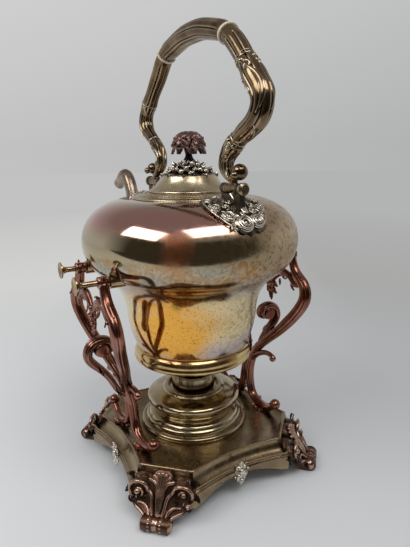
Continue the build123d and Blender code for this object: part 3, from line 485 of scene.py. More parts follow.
class Graph:
    """A node tree, with short ways to add nodes to it."""

    def __init__(self, tree: bpy.types.NodeTree) -> None:
        """Takes the tree that it adds to."""
        self.tree = tree

    def feed(self, socket: Socket, value: object) -> None:
        """Links a socket to another one, or sets its value."""
        if isinstance(value, Socket):
            self.tree.links.new(value, socket)
        else:
            socket.default_value = (*value, 1.0) if socket.type == "RGBA" else value

    def add(self, kind: str, *inputs: object, **settings: object) -> bpy.types.Node:
        """Adds a shader node with its settings, and feeds its first inputs."""
        made = self.tree.nodes.new("ShaderNode" + kind)
        for name, value in settings.items():
            setattr(made, name, value)
        for socket, value in zip(made.inputs, inputs):
            self.feed(socket, value)
        return made

    def feed_named(self, made: bpy.types.Node, **inputs: object) -> Socket:
        """Feeds inputs by their names and gives the node's first output."""
        for name, value in inputs.items():
            self.feed(made.inputs[name.replace("_", " ")], value)
        return made.outputs[0]

    @cached_property
    def place(self) -> Socket:
        """Holds the place on the object."""
        return self.add("TexCoord").outputs["Object"]

    def sum(self, how: str, first: object, second: object) -> Socket:
        """Does a sum on two values."""
        return self.add("Math", first, second, operation=how).outputs[0]

    def times(self, first: object, second: object) -> Socket:
        """Multiplies two values."""
        return self.sum("MULTIPLY", first, second)

    def plus(self, first: object, second: object) -> Socket:
        """Adds two values."""
        return self.sum("ADD", first, second)

    def gauge(self, how: str, place: Socket, *other: Point3) -> Socket:
        """Measures a place by its length, or against another vector."""
        return self.add("VectorMath", place, *other, operation=how).outputs["Value"]

    def mixed(self, share: object, first: object, second: object) -> Socket:
        """Mixes two colours by a share."""
        mix = self.add("Mix", share, data_type="RGBA")
        self.feed(mix.inputs[6], first)
        self.feed(mix.inputs[7], second)
        return mix.outputs[2]

    def ranged(self, value: Socket, low: float, high: float, to_low: float = 0.0, to_high: float = 1.0) -> Socket:
        """Maps a value's range to another and holds it there."""
        return self.add("MapRange", value, low, high, to_low, to_high, clamp=True).outputs["Result"]

    def mottle(self, scale: float, detail: float = 4.0, warp: float = 0.0) -> Socket:
        """Gives a cloudy pattern from 0 to 1 at a scale per metre."""
        made = self.add("TexNoise")
        self.feed_named(made, Vector=self.place, Scale=scale, Detail=detail, Distortion=warp)
        return made.outputs["Fac"]

    def bump(self, height: Socket, distance: float, strength: float) -> Socket:
        """Raises the surface by a height in millimetres."""
        return self.feed_named(self.add("Bump"), Height=height, Distance=distance * MM, Strength=strength)

    def stacked(self, share: Socket, under: Socket, over: Socket) -> Socket:
        """Lays one shader over another by a share."""
        return self.add("MixShader", share, under, over).outputs[0]


@dataclass(frozen=True)
class Finish:
    """A surface that pieces can have."""

    name: str

    def build(self) -> Material:
        """Makes the node material."""
        material = bpy.data.materials.new(self.name)
        material.use_nodes = True
        graph = Graph(material.node_tree)
        graph.feed_named(graph.tree.nodes["Principled BSDF"], **self.inputs(graph))
        return material

    def inputs(self, graph: Graph) -> dict[str, object]:
        """Gives the surface shader's inputs by name."""
        raise NotImplementedError


@dataclass(frozen=True)
class PlatedMetal(Finish):
    """Silver plate that has tarnished, with dirt and painted shade in its recesses, and rubbed high points that also
    carry painted highlights.

    Attributes:
        bright: The clean metal.
        film: The tarnish over it.
        deep: The dirt and painted shade in the recesses, also the colour of the specks.
        rough: The roughness where it is rubbed and where it is dull.
        patch: The size of the tarnish's clouds, per metre.
        cover: How much of the surface the tarnish takes, from 0 to 1.
        relief: How strongly the attribute of recesses and edges shows.
        formed: Whether its pieces carry the attribute of recesses and edges, as CAD nodes don't.
        worn: The colour on rubbed edges, when it differs from the clean metal; it also paints highlights along the
            edges.
    """

    bright: Color
    film: Color
    deep: Color
    rough: Point2
    patch: float
    cover: float = 0.5
    relief: float = 1.0
    formed: bool = True
    worn: Color | None = None

    def inputs(self, graph: Graph) -> dict[str, object]:
        """Lays clouds of tarnish, specks, rubbed edges with painted highlights, and dirt with painted shade in the
        recesses over the metal.
        """
        middle = 0.66 - 0.32 * self.cover
        film = graph.ranged(graph.mottle(self.patch, 5.0, 0.6), middle - 0.1, middle + 0.14)
        color = graph.mixed(film, self.bright, self.film)
        specks = graph.ranged(graph.mottle(self.patch * 14, 3.0), 0.56, 0.70, 0.0, 0.16)
        color = graph.mixed(specks, color, self.deep)
        rough = graph.ranged(graph.mottle(self.patch * 4, 6.0, 0.3), 0.3, 0.7, *self.rough)
        if self.formed:
            form = graph.add("Attribute", attribute_name="form").outputs["Fac"]
            # Painted shade: hollow places, and places that a piece's shade marks, take the deep colour, as dirt and as
            # shade.
            recess_dirt_and_shade = graph.ranged(form, 0.47, 0.12, 0.0, 0.95 * self.relief)
            # Painted highlight: proud edges take the worn colour, as rubbed wear and as highlights.
            edge = graph.ranged(form, 0.56, 0.95, 0.0, 0.75 * self.relief)
            color = graph.mixed(edge, color, self.worn or self.bright)
            color = graph.mixed(recess_dirt_and_shade, color, self.deep)
            rough = graph.plus(rough, graph.times(recess_dirt_and_shade, 0.25))
        grain = graph.bump(graph.mottle(2600.0, 2.0), 0.008, 0.25)
        return {"Base_Color": color, "Metallic": 1.0, "Roughness": rough, "Normal": grain}


@dataclass(frozen=True)
class BellyPlate(Finish):
    """The kettle's body: mauve on the shoulder, dark under the belly, and mottled amber on the bell."""

    neck: Color = (0.56, 0.44, 0.34)
    shoulder: Color = (0.60, 0.36, 0.32)
    under: Color = (0.50, 0.42, 0.28)
    copper: Color = (0.62, 0.15, 0.045)
    olive: Color = (0.52, 0.39, 0.23)
    cove: Color = (0.60, 0.55, 0.44)
    amber: Color = (0.95, 0.47, 0.07)
    straw: Color = (0.88, 0.72, 0.42)
    ash: Color = (0.60, 0.50, 0.46)
    stain: Color = (0.14, 0.09, 0.04)
    rust: Color = (0.50, 0.27, 0.10)
    pewter: Color = (0.36, 0.33, 0.25)
    worn_way: Point3 = (0.51, 0.86, 0.0)
    blotch: Point3 = (0.0775, -0.0542, 0.219)

    def inputs(self, graph: Graph) -> dict[str, object]:
        """Colours the body in bands by height that clouds push up and down, with stains over them."""
        level = graph.add("SeparateXYZ", graph.place).outputs["Z"]
        clouds = graph.mottle(22.0, 4.0, 0.8)
        fine = graph.mottle(420.0, 6.0, 0.4)
        etch = graph.mottle(150.0, 7.0, 1.6)
        drift = graph.times(graph.sum("SUBTRACT", clouds, 0.5), 0.010)
        speckle = graph.times(graph.sum("SUBTRACT", fine, 0.5), 0.005)
        height = graph.plus(graph.plus(level, drift), speckle)
        color = self.bands(graph, graph.ranged(height, 0.108, 0.252))
        worn = graph.plus(graph.gauge("DOT_PRODUCT", graph.place, self.worn_way), graph.times(drift, 2.5))
        worn = graph.ranged(worn, 0.012, 0.062)
        high = graph.ranged(level, 0.188, 0.196, 0.0, 0.85)
        color = graph.mixed(graph.times(worn, high), color, self.olive)
        for tint, centre, reach, strength in (
            (self.amber, (0.040, -0.044, 0.146), 0.050, 0.95),
            (self.copper, self.blotch, 0.018, 0.7),
            (self.ash, (0.046, -0.068, 0.178), 0.020, 0.6),
        ):
            color = graph.mixed(self.share_of(graph, centre, reach, strength, clouds), color, tint)
        belt = graph.times(graph.ranged(height, 0.2105, 0.2075), graph.ranged(height, 0.176, 0.184))
        tint = graph.mixed(graph.ranged(clouds, 0.40, 0.58), self.rust, self.pewter)
        mottled = graph.times(belt, graph.ranged(etch, 0.38, 0.56, 0.35, 0.95))
        color = graph.mixed(mottled, color, tint)
        etched = graph.times(graph.ranged(etch, 0.50, 0.60, 0.0, 0.55), worn)
        color = graph.mixed(etched, color, self.stain)
        spots = graph.ranged(graph.mottle(700.0, 4.0, 0.5), 0.55, 0.66, 0.0, 0.55)
        color = graph.mixed(graph.times(spots, graph.ranged(level, 0.214, 0.204)), color, self.stain)
        for centre, reach in (((0.0455, -0.037, 0.170), 0.0085), ((0.0595, -0.0005, 0.171), 0.0055)):
            color = graph.mixed(self.share_of(graph, centre, reach, 0.8, clouds), color, self.stain)
        wiped = graph.ranged(graph.mottle(90.0, 5.0, 1.2), 0.35, 0.7, 0.07, 0.16)
        dull = graph.times(graph.ranged(fine, 0.3, 0.7, 0.10, 0.28), worn)
        rusty = self.share_of(graph, self.blotch, 0.017, 0.2, clouds)
        rough = graph.plus(graph.plus(wiped, dull), rusty)
        return {"Base_Color": color, "Metallic": 1.0, "Roughness": rough, "Normal": graph.bump(fine, 0.02, 0.5)}

    def bands(self, graph: Graph, height: Socket) -> Socket:
        """Gives the colours from the foot ring to the neck."""
        made = graph.add("ValToRGB", height)
        stops = (
            (0.02, self.straw), (0.07, self.ash), (0.13, self.ash), (0.22, self.straw), (0.42, self.straw),
            (0.50, self.cove), (0.64, self.cove), (0.70, self.under), (0.80, self.under), (0.88, self.shoulder),
            (0.94, self.shoulder), (0.98, self.neck),
        )
        elements = made.color_ramp.elements
        while len(elements) < len(stops):
            elements.new(1.0)
        for element, (at, color) in zip(elements, stops):
            element.position = at
            element.color = (*color, 1.0)
        return made.outputs["Color"]

    def share_of(self, graph: Graph, centre: Point3, reach: float, strength: float, clouds: Socket) -> Socket:
        """Gives how much of a soft-edged stain lies on each place of the body."""
        away = graph.gauge("DISTANCE", graph.place, centre)
        wobble = graph.times(graph.sum("SUBTRACT", clouds, 0.5), reach * 1.4)
        return graph.ranged(graph.plus(away, wobble), reach, reach * 0.45, 0.0, strength)


@dataclass(frozen=True)
class PlainFinish(Finish):
    """A finish that isn't metal, clouded with a second colour, with a weave for the wick."""

    main: Color
    second: Color
    rough: float
    scale: float
    weave: bool = False

    def inputs(self, graph: Graph) -> dict[str, object]:
        """Clouds the colour and raises the threads of a weave."""
        color = graph.mixed(graph.ranged(graph.mottle(self.scale, 5.0, 0.5), 0.35, 0.7), self.main, self.second)
        made = {"Base_Color": color, "Roughness": self.rough}
        if self.weave:
            threads = graph.add("TexWave")
            graph.feed_named(threads, Vector=graph.place, Scale=900.0, Distortion=1.5)
            made["Normal"] = graph.bump(threads.outputs["Fac"], 0.3, 0.8)
        return made


# In the plated metals, deep holds the dirt and painted shade of the recesses, and worn holds the rubbed wear and
# painted highlights of the edges.
FINISHES: dict[str, Finish] = {
    "body": BellyPlate("belly_plate"),
    "turned": PlatedMetal(
        "turned_plate", (0.70, 0.52, 0.24), (0.46, 0.27, 0.12), (0.08, 0.045, 0.02), (0.09, 0.2), 45, 0.45, 0.3
    ),
    "cover": PlatedMetal(
        "lid_plate", (0.66, 0.57, 0.40), (0.46, 0.36, 0.22), (0.12, 0.08, 0.045), (0.22, 0.32), 60, 0.4, 0.4
    ),
    "spout": PlatedMetal(
        "spout_plate", (0.44, 0.35, 0.27), (0.25, 0.18, 0.135), (0.05, 0.035, 0.025), (0.16, 0.32), 60
    ),
    "cast": PlatedMetal(
        "cast_mount", (0.84, 0.78, 0.68), (0.54, 0.47, 0.38), (0.03, 0.022, 0.016), (0.14, 0.30), 150, 0.35
    ),
    # Painted shade: this dark ground under the cast relief paints the shade in the gaps between its leaves.
    "core": PlatedMetal(
        "cast_ground", (0.14, 0.12, 0.09), (0.07, 0.055, 0.04), (0.03, 0.02, 0.015), (0.3, 0.5), 200, formed=False
    ),
    "hinge": PlatedMetal(
        "hinge_plate", (0.50, 0.40, 0.27), (0.30, 0.21, 0.12), (0.08, 0.05, 0.03), (0.16, 0.32), 90, formed=False
    ),
    "handle": PlatedMetal(
        "handle_plate", (0.30, 0.215, 0.125), (0.13, 0.078, 0.04), (0.012, 0.007, 0.004), (0.10, 0.2), 50, 0.6,
        worn=(0.66, 0.60, 0.46),
    ),
    "knob": PlatedMetal(
        "knob_copper", (0.34, 0.21, 0.19), (0.13, 0.075, 0.068), (0.015, 0.01, 0.009), (0.26, 0.45), 220, 0.6
    ),
    "stem": PlatedMetal(
        "stem_black", (0.06, 0.045, 0.04), (0.02, 0.015, 0.014), (0.01, 0.008, 0.008), (0.3, 0.5), 220, 0.6
    ),
    "plate": PlatedMetal(
        "stand_plate", (0.36, 0.275, 0.165), (0.22, 0.155, 0.085), (0.03, 0.02, 0.011), (0.17, 0.32), 38, 0.5, 0.6,
        worn=(0.60, 0.40, 0.28),
    ),
    "leg": PlatedMetal(
        "leg_copper", (0.34, 0.155, 0.11), (0.20, 0.062, 0.038), (0.014, 0.006, 0.004), (0.14, 0.28), 55, 0.55,
        worn=(0.58, 0.36, 0.28),
    ),
    "foot": PlatedMetal(
        "foot_copper", (0.52, 0.34, 0.25), (0.30, 0.165, 0.11), (0.018, 0.011, 0.008), (0.16, 0.34), 90,
        worn=(0.74, 0.58, 0.50),
    ),
    # Painted shade: this dark ground under the feet's relief paints the shade in the gaps between its ribs and leaves.
    "foot_core": PlatedMetal(
        "foot_ground", (0.17, 0.10, 0.07), (0.07, 0.04, 0.026), (0.02, 0.012, 0.01), (0.3, 0.5), 90, formed=False
    ),
    "pin": PlatedMetal(
        "pin_plate", (0.56, 0.42, 0.25), (0.34, 0.20, 0.11), (0.06, 0.035, 0.02), (0.12, 0.26), 120, formed=False
    ),
    "lamp": PlatedMetal(
        "lamp_plate", (0.53, 0.45, 0.30), (0.33, 0.25, 0.145), (0.06, 0.04, 0.025), (0.09, 0.2), 42, 0.5, 0.5
    ),
    "ivory": PlainFinish("aged_ivory", (0.82, 0.74, 0.60), (0.68, 0.56, 0.40), 0.35, 160),
    "wick": PlainFinish("cotton_wick", (0.66, 0.60, 0.50), (0.12, 0.09, 0.07), 0.95, 300, True),
}


@cache
def look(key: str) -> Material:
    """Makes a finish the first time that it is asked for."""
    return FINISHES[key].build()


def column(rows: bpy.types.bpy_prop_collection, name: str, width: int, kind: type = float) -> np.ndarray:
    """Reads one property of every row, such as each vertex's place."""
    values = np.empty(len(rows) * width, kind)
    rows.foreach_get(name, values)
    return values.reshape(-1, width)


def mark_form(mesh: bpy.types.Mesh, strength: float, shade: Callable[[Vector], float] | None) -> None:
    """Stores how hollow or proud each vertex is, from 0 to 1 with 0.5 for flat.

    Args:
        mesh: The finished mesh.
        strength: How quickly a bend counts, in millimetres of radius.
        shade: How much painted shade a place gets, from 0 to 1, such as close to the body under it.
    """
    places, normals = column(mesh.vertices, "co", 3), column(mesh.vertices, "normal", 3)
    first, second = column(mesh.edges, "vertices", 2, int).T
    run = places[second] - places[first]
    span = np.maximum((run * run).sum(1), 1e-12)
    bend, edges = np.zeros((2, len(places)))
    for start, way in ((first, 1), (second, -1)):
        np.add.at(bend, start, (run * way * normals[start]).sum(1) * 2 / span)
        np.add.at(edges, start, 1)
    bend /= np.maximum(edges, 1)
    value = 0.5 - bend * strength * MM * 0.25
    # Painted shade: places close to the body under a piece are pushed towards the hollow value, which the finish paints
    # dark.
    if shade is not None:
        dark = np.array([shade(Vector(place)) for place in places])
        value = value * (1 - dark) + 0.1 * dark
    attribute = mesh.attributes.new("form", "FLOAT", "POINT")
    attribute.data.foreach_set("value", np.clip(value, 0, 1).astype(np.float32))


def finish_piece(
    shape: BMesh,
    name: str,
    finish: str,
    body: str,
    replaces: Sequence[str] = (),
    slot: str | None = None,
    crease: float = 38.0,
    strength: float = 1.5,
    shade: Callable[[Vector], float] | None = None,
) -> None:
    """Turns a shape into a named piece that rides on a body.

    Args:
        shape: The bmesh, which is freed.
        name: The piece's name.
        finish: The key of its finish.
        body: The CAD body that it moves with.
        replaces: The CAD nodes that it stands for.
        slot: The record's material slot; not used.
        crease: Edges sharper than this many degrees stay sharp.
        strength: How strongly bends count for recesses and edges.
        shade: How much painted shade a place gets.
    """
    bmesh.ops.recalc_face_normals(shape, faces=shape.faces)
    mesh = bpy.data.meshes.new(name)
    shape.to_mesh(mesh)
    shape.free()
    for polygon in mesh.polygons:
        polygon.use_smooth = True
    mesh.set_sharp_from_angle(angle=math.radians(crease))
    mark_form(mesh, strength, shade)
    mesh.materials.append(look(finish))
    piece = bpy.data.objects.new(name, mesh)
    bpy.context.scene.collection.objects.link(piece)
    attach(piece, body)
    if replaces:
        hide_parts(*replaces)
    log.info("%s: %d faces on %s", name, len(mesh.polygons), body)


def dress(names: Iterable[str], finish: str) -> None:
    """Gives carried-over CAD nodes a finish."""
    for name in names:
        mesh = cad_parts[name].data
        mesh.materials.clear()
        mesh.materials.append(look(finish))
        log.info("%s: CAD node dressed in %s", name, finish)


@dataclass(frozen=True)
class Turning:
    """A piece that is turned from its profile of (radius, height) and stands for one CAD node."""

    name: str
    replaces: str
    finish: str
    body: str
    slot: str
    corner: float
    profile: Sequence[Point2]
    rounds: int = 3
    steps: int = 144
    closed: bool = True
    crease: float = 38.0
    strength: float = 1.5

    def build(self) -> None:
        """Turns the piece, with its corners rounded."""
        shape = bmesh.new()
        lathe(shape, softened(self.profile, self.corner, self.rounds), None, self.steps, self.closed)
        finish_piece(
            shape, self.name, self.finish, self.body, (self.replaces,), self.slot, self.crease, self.strength
        )


# Kettle


@dataclass
class KettleBody:
    """The spun body with its foot ring and the stepped collar round the lid. Sizes are in millimetres."""

    body_radius: float = 95.0
    belly_height: float = 213.2
    belly_round: float = 33.2
    cove_angle: float = -57.2
    shoulder_angle: float = 56.9
    edge: Point2 = (60.0, 248.8)
    waist: Point2 = (59.5, 150.0)
    foot: Point2 = (48.5, 111.0)
    bottom: float = 109.0
    neck_bore: float = 31.5
    neck_height: float = 250.6
    wall: float = 1.2

    def outline(self, extra: float = 0.0) -> list[Point2]:
        """Draws the body's outer line from its bottom to its neck, set out by extra."""
        centre = self.body_radius - self.belly_round
        reach = self.belly_round + extra

        def on_belly(degrees: float) -> Point2:
            """Gives a place on the belly's round at an angle."""
            angle = math.radians(degrees)
            return centre + reach * math.cos(angle), self.belly_height + reach * math.sin(angle)

        low, high = math.radians(self.cove_angle), math.radians(self.shoulder_angle)
        waist, foot = (self.waist[0] + extra, self.waist[1]), (self.foot[0] + extra, self.foot[1])
        cove, heading = tangent_arc(on_belly(self.cove_angle), waist, (math.sin(low), -math.cos(low)), 20)
        bell, _ = tangent_arc(cove[-1], foot, heading, 22)
        line = [(0.0, self.bottom - extra), (self.foot[0] - 2, self.bottom - extra), *reversed(bell), *reversed(cove)]
        turns = 36
        line += [on_belly(blend(self.cove_angle, self.shoulder_angle, i / turns)) for i in range(turns + 1)]
        over, _ = tangent_arc(line[-1], (self.edge[0], self.edge[1] + extra), (-math.sin(high), math.cos(high)), 14)
        line += [*over, (self.neck_bore, self.neck_height + extra)]
        return line

    @cached_property
    def shoulder_line(self) -> np.ndarray:
        """Holds the shoulder's radii and heights in metres, from the lid outward."""
        return np.array(sorted(point for point in self.outline() if point[1] >= self.belly_height)).T * MM

    def skin(self, reach: float) -> tuple[float, float]:
        """Gives the shoulder's height and its slope at a distance from the axis, in metres."""
        near = 0.6 * MM
        below, at, above = (float(np.interp(reach + step, *self.shoulder_line)) for step in (-near, 0, near))
        return at, (above - below) / (2 * near)

    def build(self) -> None:
        """Builds the shell with its inner wall, the ring under it and the collar, and dresses the lugs."""
        shape = bmesh.new()
        lathe(shape, [*self.outline(), *reversed(self.outline(-self.wall))], steps=192, closed=False)
        bands = ("kettle_bell", "kettle_belly", "kettle_shoulder", "kettle_crown")
        finish_piece(shape, "body_spun", "body", "kettle", bands, "body_silver")
        ring = (
            (43.0, 103.0), (49.5, 102.6), (52.4, 102.8), (54.3, 104.4), (54.6, 106.6), (53.6, 108.4), (53.9, 109.4),
            (53.7, 111.4), (52.6, 113.6), (51.2, 115.2), (49.2, 116.0), (48.0, 112.0), (46.0, 108.9), (43.0, 108.9),
        )
        Turning("foot_ring_turned", "kettle_foot_ring", "turned", "kettle", "body_silver", 1.2, ring, 4, 160).build()
        collar = (
            (51.0, 249.5), (31.6, 250.6), (31.6, 254.0), (36.2, 254.0), (37.4, 253.0), (38.2, 253.0), (38.8, 253.5),
            (40.6, 253.5), (41.4, 252.4), (42.4, 252.2), (43.0, 252.7), (45.0, 252.5), (45.8, 251.4), (48.4, 251.3),
            (50.6, 250.6),
        )
        Turning("collar_turned", "neck_ring", "cover", "kettle", "body_silver", 0.5, collar).build()
        dress((f"kettle_lug_{e.tag}_{s.tag}" for e in End for s in Side), "pin")


@dataclass
class SwanSpout:
    """The spout, with soft panels, a leaf at its root and an open mouth. Sizes are in millimetres."""

    route: tuple[Point2, ...] = ((77.8, 197.0), (117.5, 205.0), (131.5, 244.0), (146.5, 263.5), (170.0, 253.0))
    stations: tuple[Point3, ...] = (
        (0.0, 30.0, 42.0), (0.15, 25.2, 31.0), (0.3, 20.0, 23.0), (0.48, 15.0, 16.0), (0.66, 13.4, 13.6),
        (0.82, 12.8, 13.4), (1.0, 10.8, 12.6),
    )
    wall: float = 1.2
    steps: int = 70
    deepest: int = 40

    def build(self) -> None:
        """Builds the spout from rings that run out to the mouth and back down inside it."""
        centres = smooth_path([mm(-x, 0, z) for x, z in self.route], self.steps)
        frames = frames_along(centres, Vector((0, 1, 0)))
        panels = reeded(8, 0.07, 0.3, 0.12, 0.97, math.pi / 8)
        segments = 40
        turns = [FULL_TURN * i / segments for i in range(segments)]

        def shape_row(ring: Ring, row: tuple[int, float]) -> None:
            """Sets a ring of the spout by its number and how far it is inset."""
            index, inset = row
            share = index / (self.steps - 1)
            width, depth = size_at(share, self.stations)
            lip = 1.0 + 0.08 * smooth_step(0.96, 1.0, share)
            _, side, other = frames[index]
            for vert, turn in zip(ring, turns):
                factor = panels(turn, share) * lip / 2
                across = (width * factor - inset) * math.cos(turn)
                along = (depth * factor - inset) * math.sin(turn)
                vert.co = centres[index] + (side * across + other * along) * MM

        shape = bmesh.new()
        inside = range(self.steps - 1, self.deepest, -1)
        rows = [(i, 0.0) for i in range(self.steps)] + [(i, self.wall) for i in inside]
        skin_rings(shape, start_ring(shape, segments), rows, shape_row)
        for sign in (-1, 1):
            way, face = Vector((-0.75, -sign * 0.1, 0.66)), Vector((-0.3, sign, -0.2))
            leaf(shape, mm(-93, sign * 8.5, 190), way, face, 26, 13, 0.05)
        leaf(shape, mm(-94, 0, 181), Vector((-0.85, 0, 0.5)), Vector((-0.5, 0, -0.8)), 30, 17, 0.0)
        finish_piece(shape, "spout_panelled", "spout", "kettle", ("spout",), "body_silver", strength=2.5)


@dataclass
class ShoulderSprays:
    """Cast leaves, scrolls and rosettes on the shoulder, under each hinge. Sizes are in millimetres."""

    body: KettleBody
    root: float = 52.0
    tip: float = 91.0
    half_width: float = 23.0
    rows: int = 6
    roses: tuple[Point3, ...] = (
        (87.2, -3.4, 5.2), (86.4, 7.8, 4.5), (81.5, -13.4, 3.6), (76, 17, 3.2), (72, -18.5, 3.0),
    )

    def on_skin(self, end: End, reach: float, aside: float, lift: float) -> tuple[Vector, Vector]:
        """Gives the place over the shoulder at a plan position, and the surface's normal there."""
        height, slope = self.body.skin(math.hypot(reach, aside) * MM)
        out = Vector((end.value * reach, aside, 0)).normalized()
        normal = Vector((-slope * out.x, -slope * out.y, 1)).normalized()
        return mm(end.value * reach, aside, 0) + UP * height + normal * lift * MM, normal

    def half_at(self, reach: float) -> float:
        """Gives half the spray's width at a distance from the axis."""
        share = (reach - self.root) / (self.tip - self.root)
        return self.half_width * min(0.75 + share, 1.0) * math.sqrt(max(1 - max(share - 0.45, 0) ** 2 / 0.32, 0.05))

    def rosette(self, shape: BMesh, end: End, reach: float, aside: float, radius: float) -> None:
        """Adds a rose of three rings with a sunken boss."""
        centre, normal = self.on_skin(end, reach, aside, 4.0)
        place = Matrix.Translation(centre) @ normal.to_track_quat("Z", "Y").to_matrix().to_4x4()
        for ring, height, thick in ((1.12, -1.7, 0.26), (1.0, 0.0, 0.2), (0.56, 0.5, 0.15)):
            loop = [place @ mm(*point) for point in circle(radius * ring, height, 26)]
            sweep(shape, loop, normal, even(radius * thick * 2), segments=8)
        blob(shape, centre - normal * 0.8 * MM, radius * 0.3)

    def heap(self, shape: BMesh, end: End) -> None:
        """Heaps leaves and scrolls in rows over the shoulder."""
        chance = random.Random(11 + end.value)
        for row in range(self.rows):
            reach = blend(self.root + 3, self.tip - 5, row / (self.rows - 1))
            half = self.half_at(reach)
            count = max(3, int(half / 3.4))
            for k in range(count):
                aside = blend(-half, half, (k + 0.5) / count) * 1.02
                place, normal = self.on_skin(end, reach, aside, 2.7)
                spread = math.atan2(aside, 26.0) + chance.uniform(-0.7, 0.7)
                way = Vector((end.value * math.cos(spread), math.sin(spread), 0))
                way = (way - normal * way.dot(normal)).normalized()
                if (row + k) % 3 == 1:
                    across = normal.cross(way).normalized() * (1 if k % 2 else -1)
                    scroll(shape, place + normal * 0.7 * MM, way, across, 3.4, 1.4, 1.25, chance.uniform(0, 3))
                else:
                    size = chance.uniform(7.0, 9.5)
                    leaf(shape, place - way * 3 * MM, way, normal, size, size * 0.6, 0.12, 4, 1.1)

    def shade(self, place: Vector) -> float:
        """Paints shade on the metal close to the shoulder."""
        return 1 - smooth_step(1.6 * MM, 3.4 * MM, place.z - self.body.skin(math.hypot(place.x, place.y))[0])

    def build(self) -> None:
        """Builds both sprays and dresses their base plates."""
        dress((f"shoulder_spray_{e.tag}" for e in End), "core")
        edge = [blend(self.root, self.tip - 2, i / 9) for i in range(10)]
        for end in End:
            shape = bmesh.new()
            self.heap(shape, end)
            for sign in (-1, 1):
                rim = [self.on_skin(end, reach, sign * self.half_at(reach), 2.2)[0] for reach in edge]
                sweep(shape, smooth_path(rim, 40), UP, even(1.1), segments=8)
            for rose in self.roses:
                self.rosette(shape, end, *rose)
            heights = ((65, 9), (70, 6.5), (75, 4.6), (81, 3.6))
            stem = [self.on_skin(end, reach, 1.5, lift)[0] for reach, lift in heights]
            sizes = ((0, 9, 4), (1, 4.4, 2))
            sweep(shape, smooth_path(stem, 20), Vector((0, 1, 0)), sizes, reeded(5, 0.2, 0.3), 24)
            finish_piece(shape, f"spray_{end.tag}", "cast", "kettle", (), "cast_silver", 50.0, 1.2, self.shade)


@dataclass(frozen=True)
class Arm:
    """One arm of the handle, measured by shares of its length from the hinge.

    Attributes:
        end: The end of the kettle that it stands at.
        ball: The radius of the ball on its curl.
        carving: Where the slanting knobs end.
        sizes: Stations of (share, width, depth).
        bands: Rings round it, as (share, thickness).
        ribbons: Metal laid along it, as (angle, start, end, width, whether a volute ends it).
        knobs: Small balls on it, as (share, angle, radius).
    """

    end: End
    ball: float
    carving: float
    sizes: tuple[Point3, ...]
    bands: tuple[Point2, ...]
    ribbons: tuple[tuple[float, float, float, float, bool], ...]
    knobs: tuple[Point3, ...]


ARMS = (
    Arm(
        End.FRONT, 5.4, 0.34,
        (
            (0.0, 5.5, 5.0), (0.08, 8.0, 6.5), (0.17, 10.5, 8.5), (0.26, 12.0, 10.5), (0.34, 10.6, 9.6),
            (0.40, 12.0, 11.0), (0.52, 14.0, 12.8), (0.60, 13.2, 12.2), (0.66, 14.6, 13.8), (0.72, 13.4, 12.8),
            (0.86, 14.6, 14.4), (1.0, 15.5, 14.5),
        ),
        ((0.345, 1.6), (0.665, 1.1)),
        (
            (0.4, 0.50, 0.66, 3.4, True), (2.6, 0.46, 0.64, 3.2, False), (-1.2, 0.42, 0.56, 3.0, False),
            (0.0, 0.10, 0.30, 3.4, False), (2.2, 0.12, 0.31, 3.2, False), (4.2, 0.12, 0.30, 3.2, False),
        ),
        ((0.345, 0.2, 1.8), (0.345, 1.5, 1.6), (0.345, 3.0, 1.8), (0.345, 4.6, 1.6), (0.665, 3.1, 1.6)),
    ),
    Arm(
        End.REAR, 6.1, 0.28,
        (
            (0.0, 5.5, 5.0), (0.08, 8.0, 6.5), (0.17, 10.5, 9.0), (0.27, 14.0, 13.4), (0.32, 12.6, 12.4),
            (0.40, 14.6, 14.6), (0.52, 15.8, 16.6), (0.62, 16.0, 16.8), (0.70, 16.8, 16.8), (0.76, 15.0, 15.0),
            (0.80, 14.2, 14.2), (0.88, 14.8, 14.6), (1.0, 15.5, 14.5),
        ),
        ((0.30, 2.0), (0.325, 1.5), (0.795, 1.8), (0.815, 1.0)),
        (
            (0.5, 0.52, 0.735, 4.6, True), (-0.9, 0.56, 0.70, 3.6, True), (1.9, 0.54, 0.76, 4.2, True),
            (3.4, 0.56, 0.72, 3.8, True), (4.6, 0.58, 0.76, 3.6, False), (0.3, 0.08, 0.27, 4.0, True),
            (1.9, 0.10, 0.28, 3.4, False), (3.5, 0.08, 0.27, 3.8, True), (5.2, 0.10, 0.28, 3.4, False),
            (0.9, 0.48, 0.335, 3.6, False), (2.6, 0.46, 0.335, 3.6, False),
        ),
        (
            (0.30, -0.2, 2.4), (0.30, 0.8, 1.8), (0.30, 1.9, 2.2), (0.30, 3.1, 2.4), (0.30, 4.4, 2.0),
            (0.78, 0.2, 2.0), (0.78, 1.7, 1.8), (0.78, 3.2, 2.0), (0.78, 4.7, 1.8), (0.42, 4.6, 1.7),
        ),
    ),
)


def on_bar(centre: Vector, bar: Frame, size: Point2, turn: float, out: float = 1.0) -> Vector:
    """Gives the place at an angle round a bar, at a share of its radius."""
    _, side, other = bar
    return centre + (side * math.cos(turn) * size[0] + other * math.sin(turn) * size[1]) * (out * MM / 2)


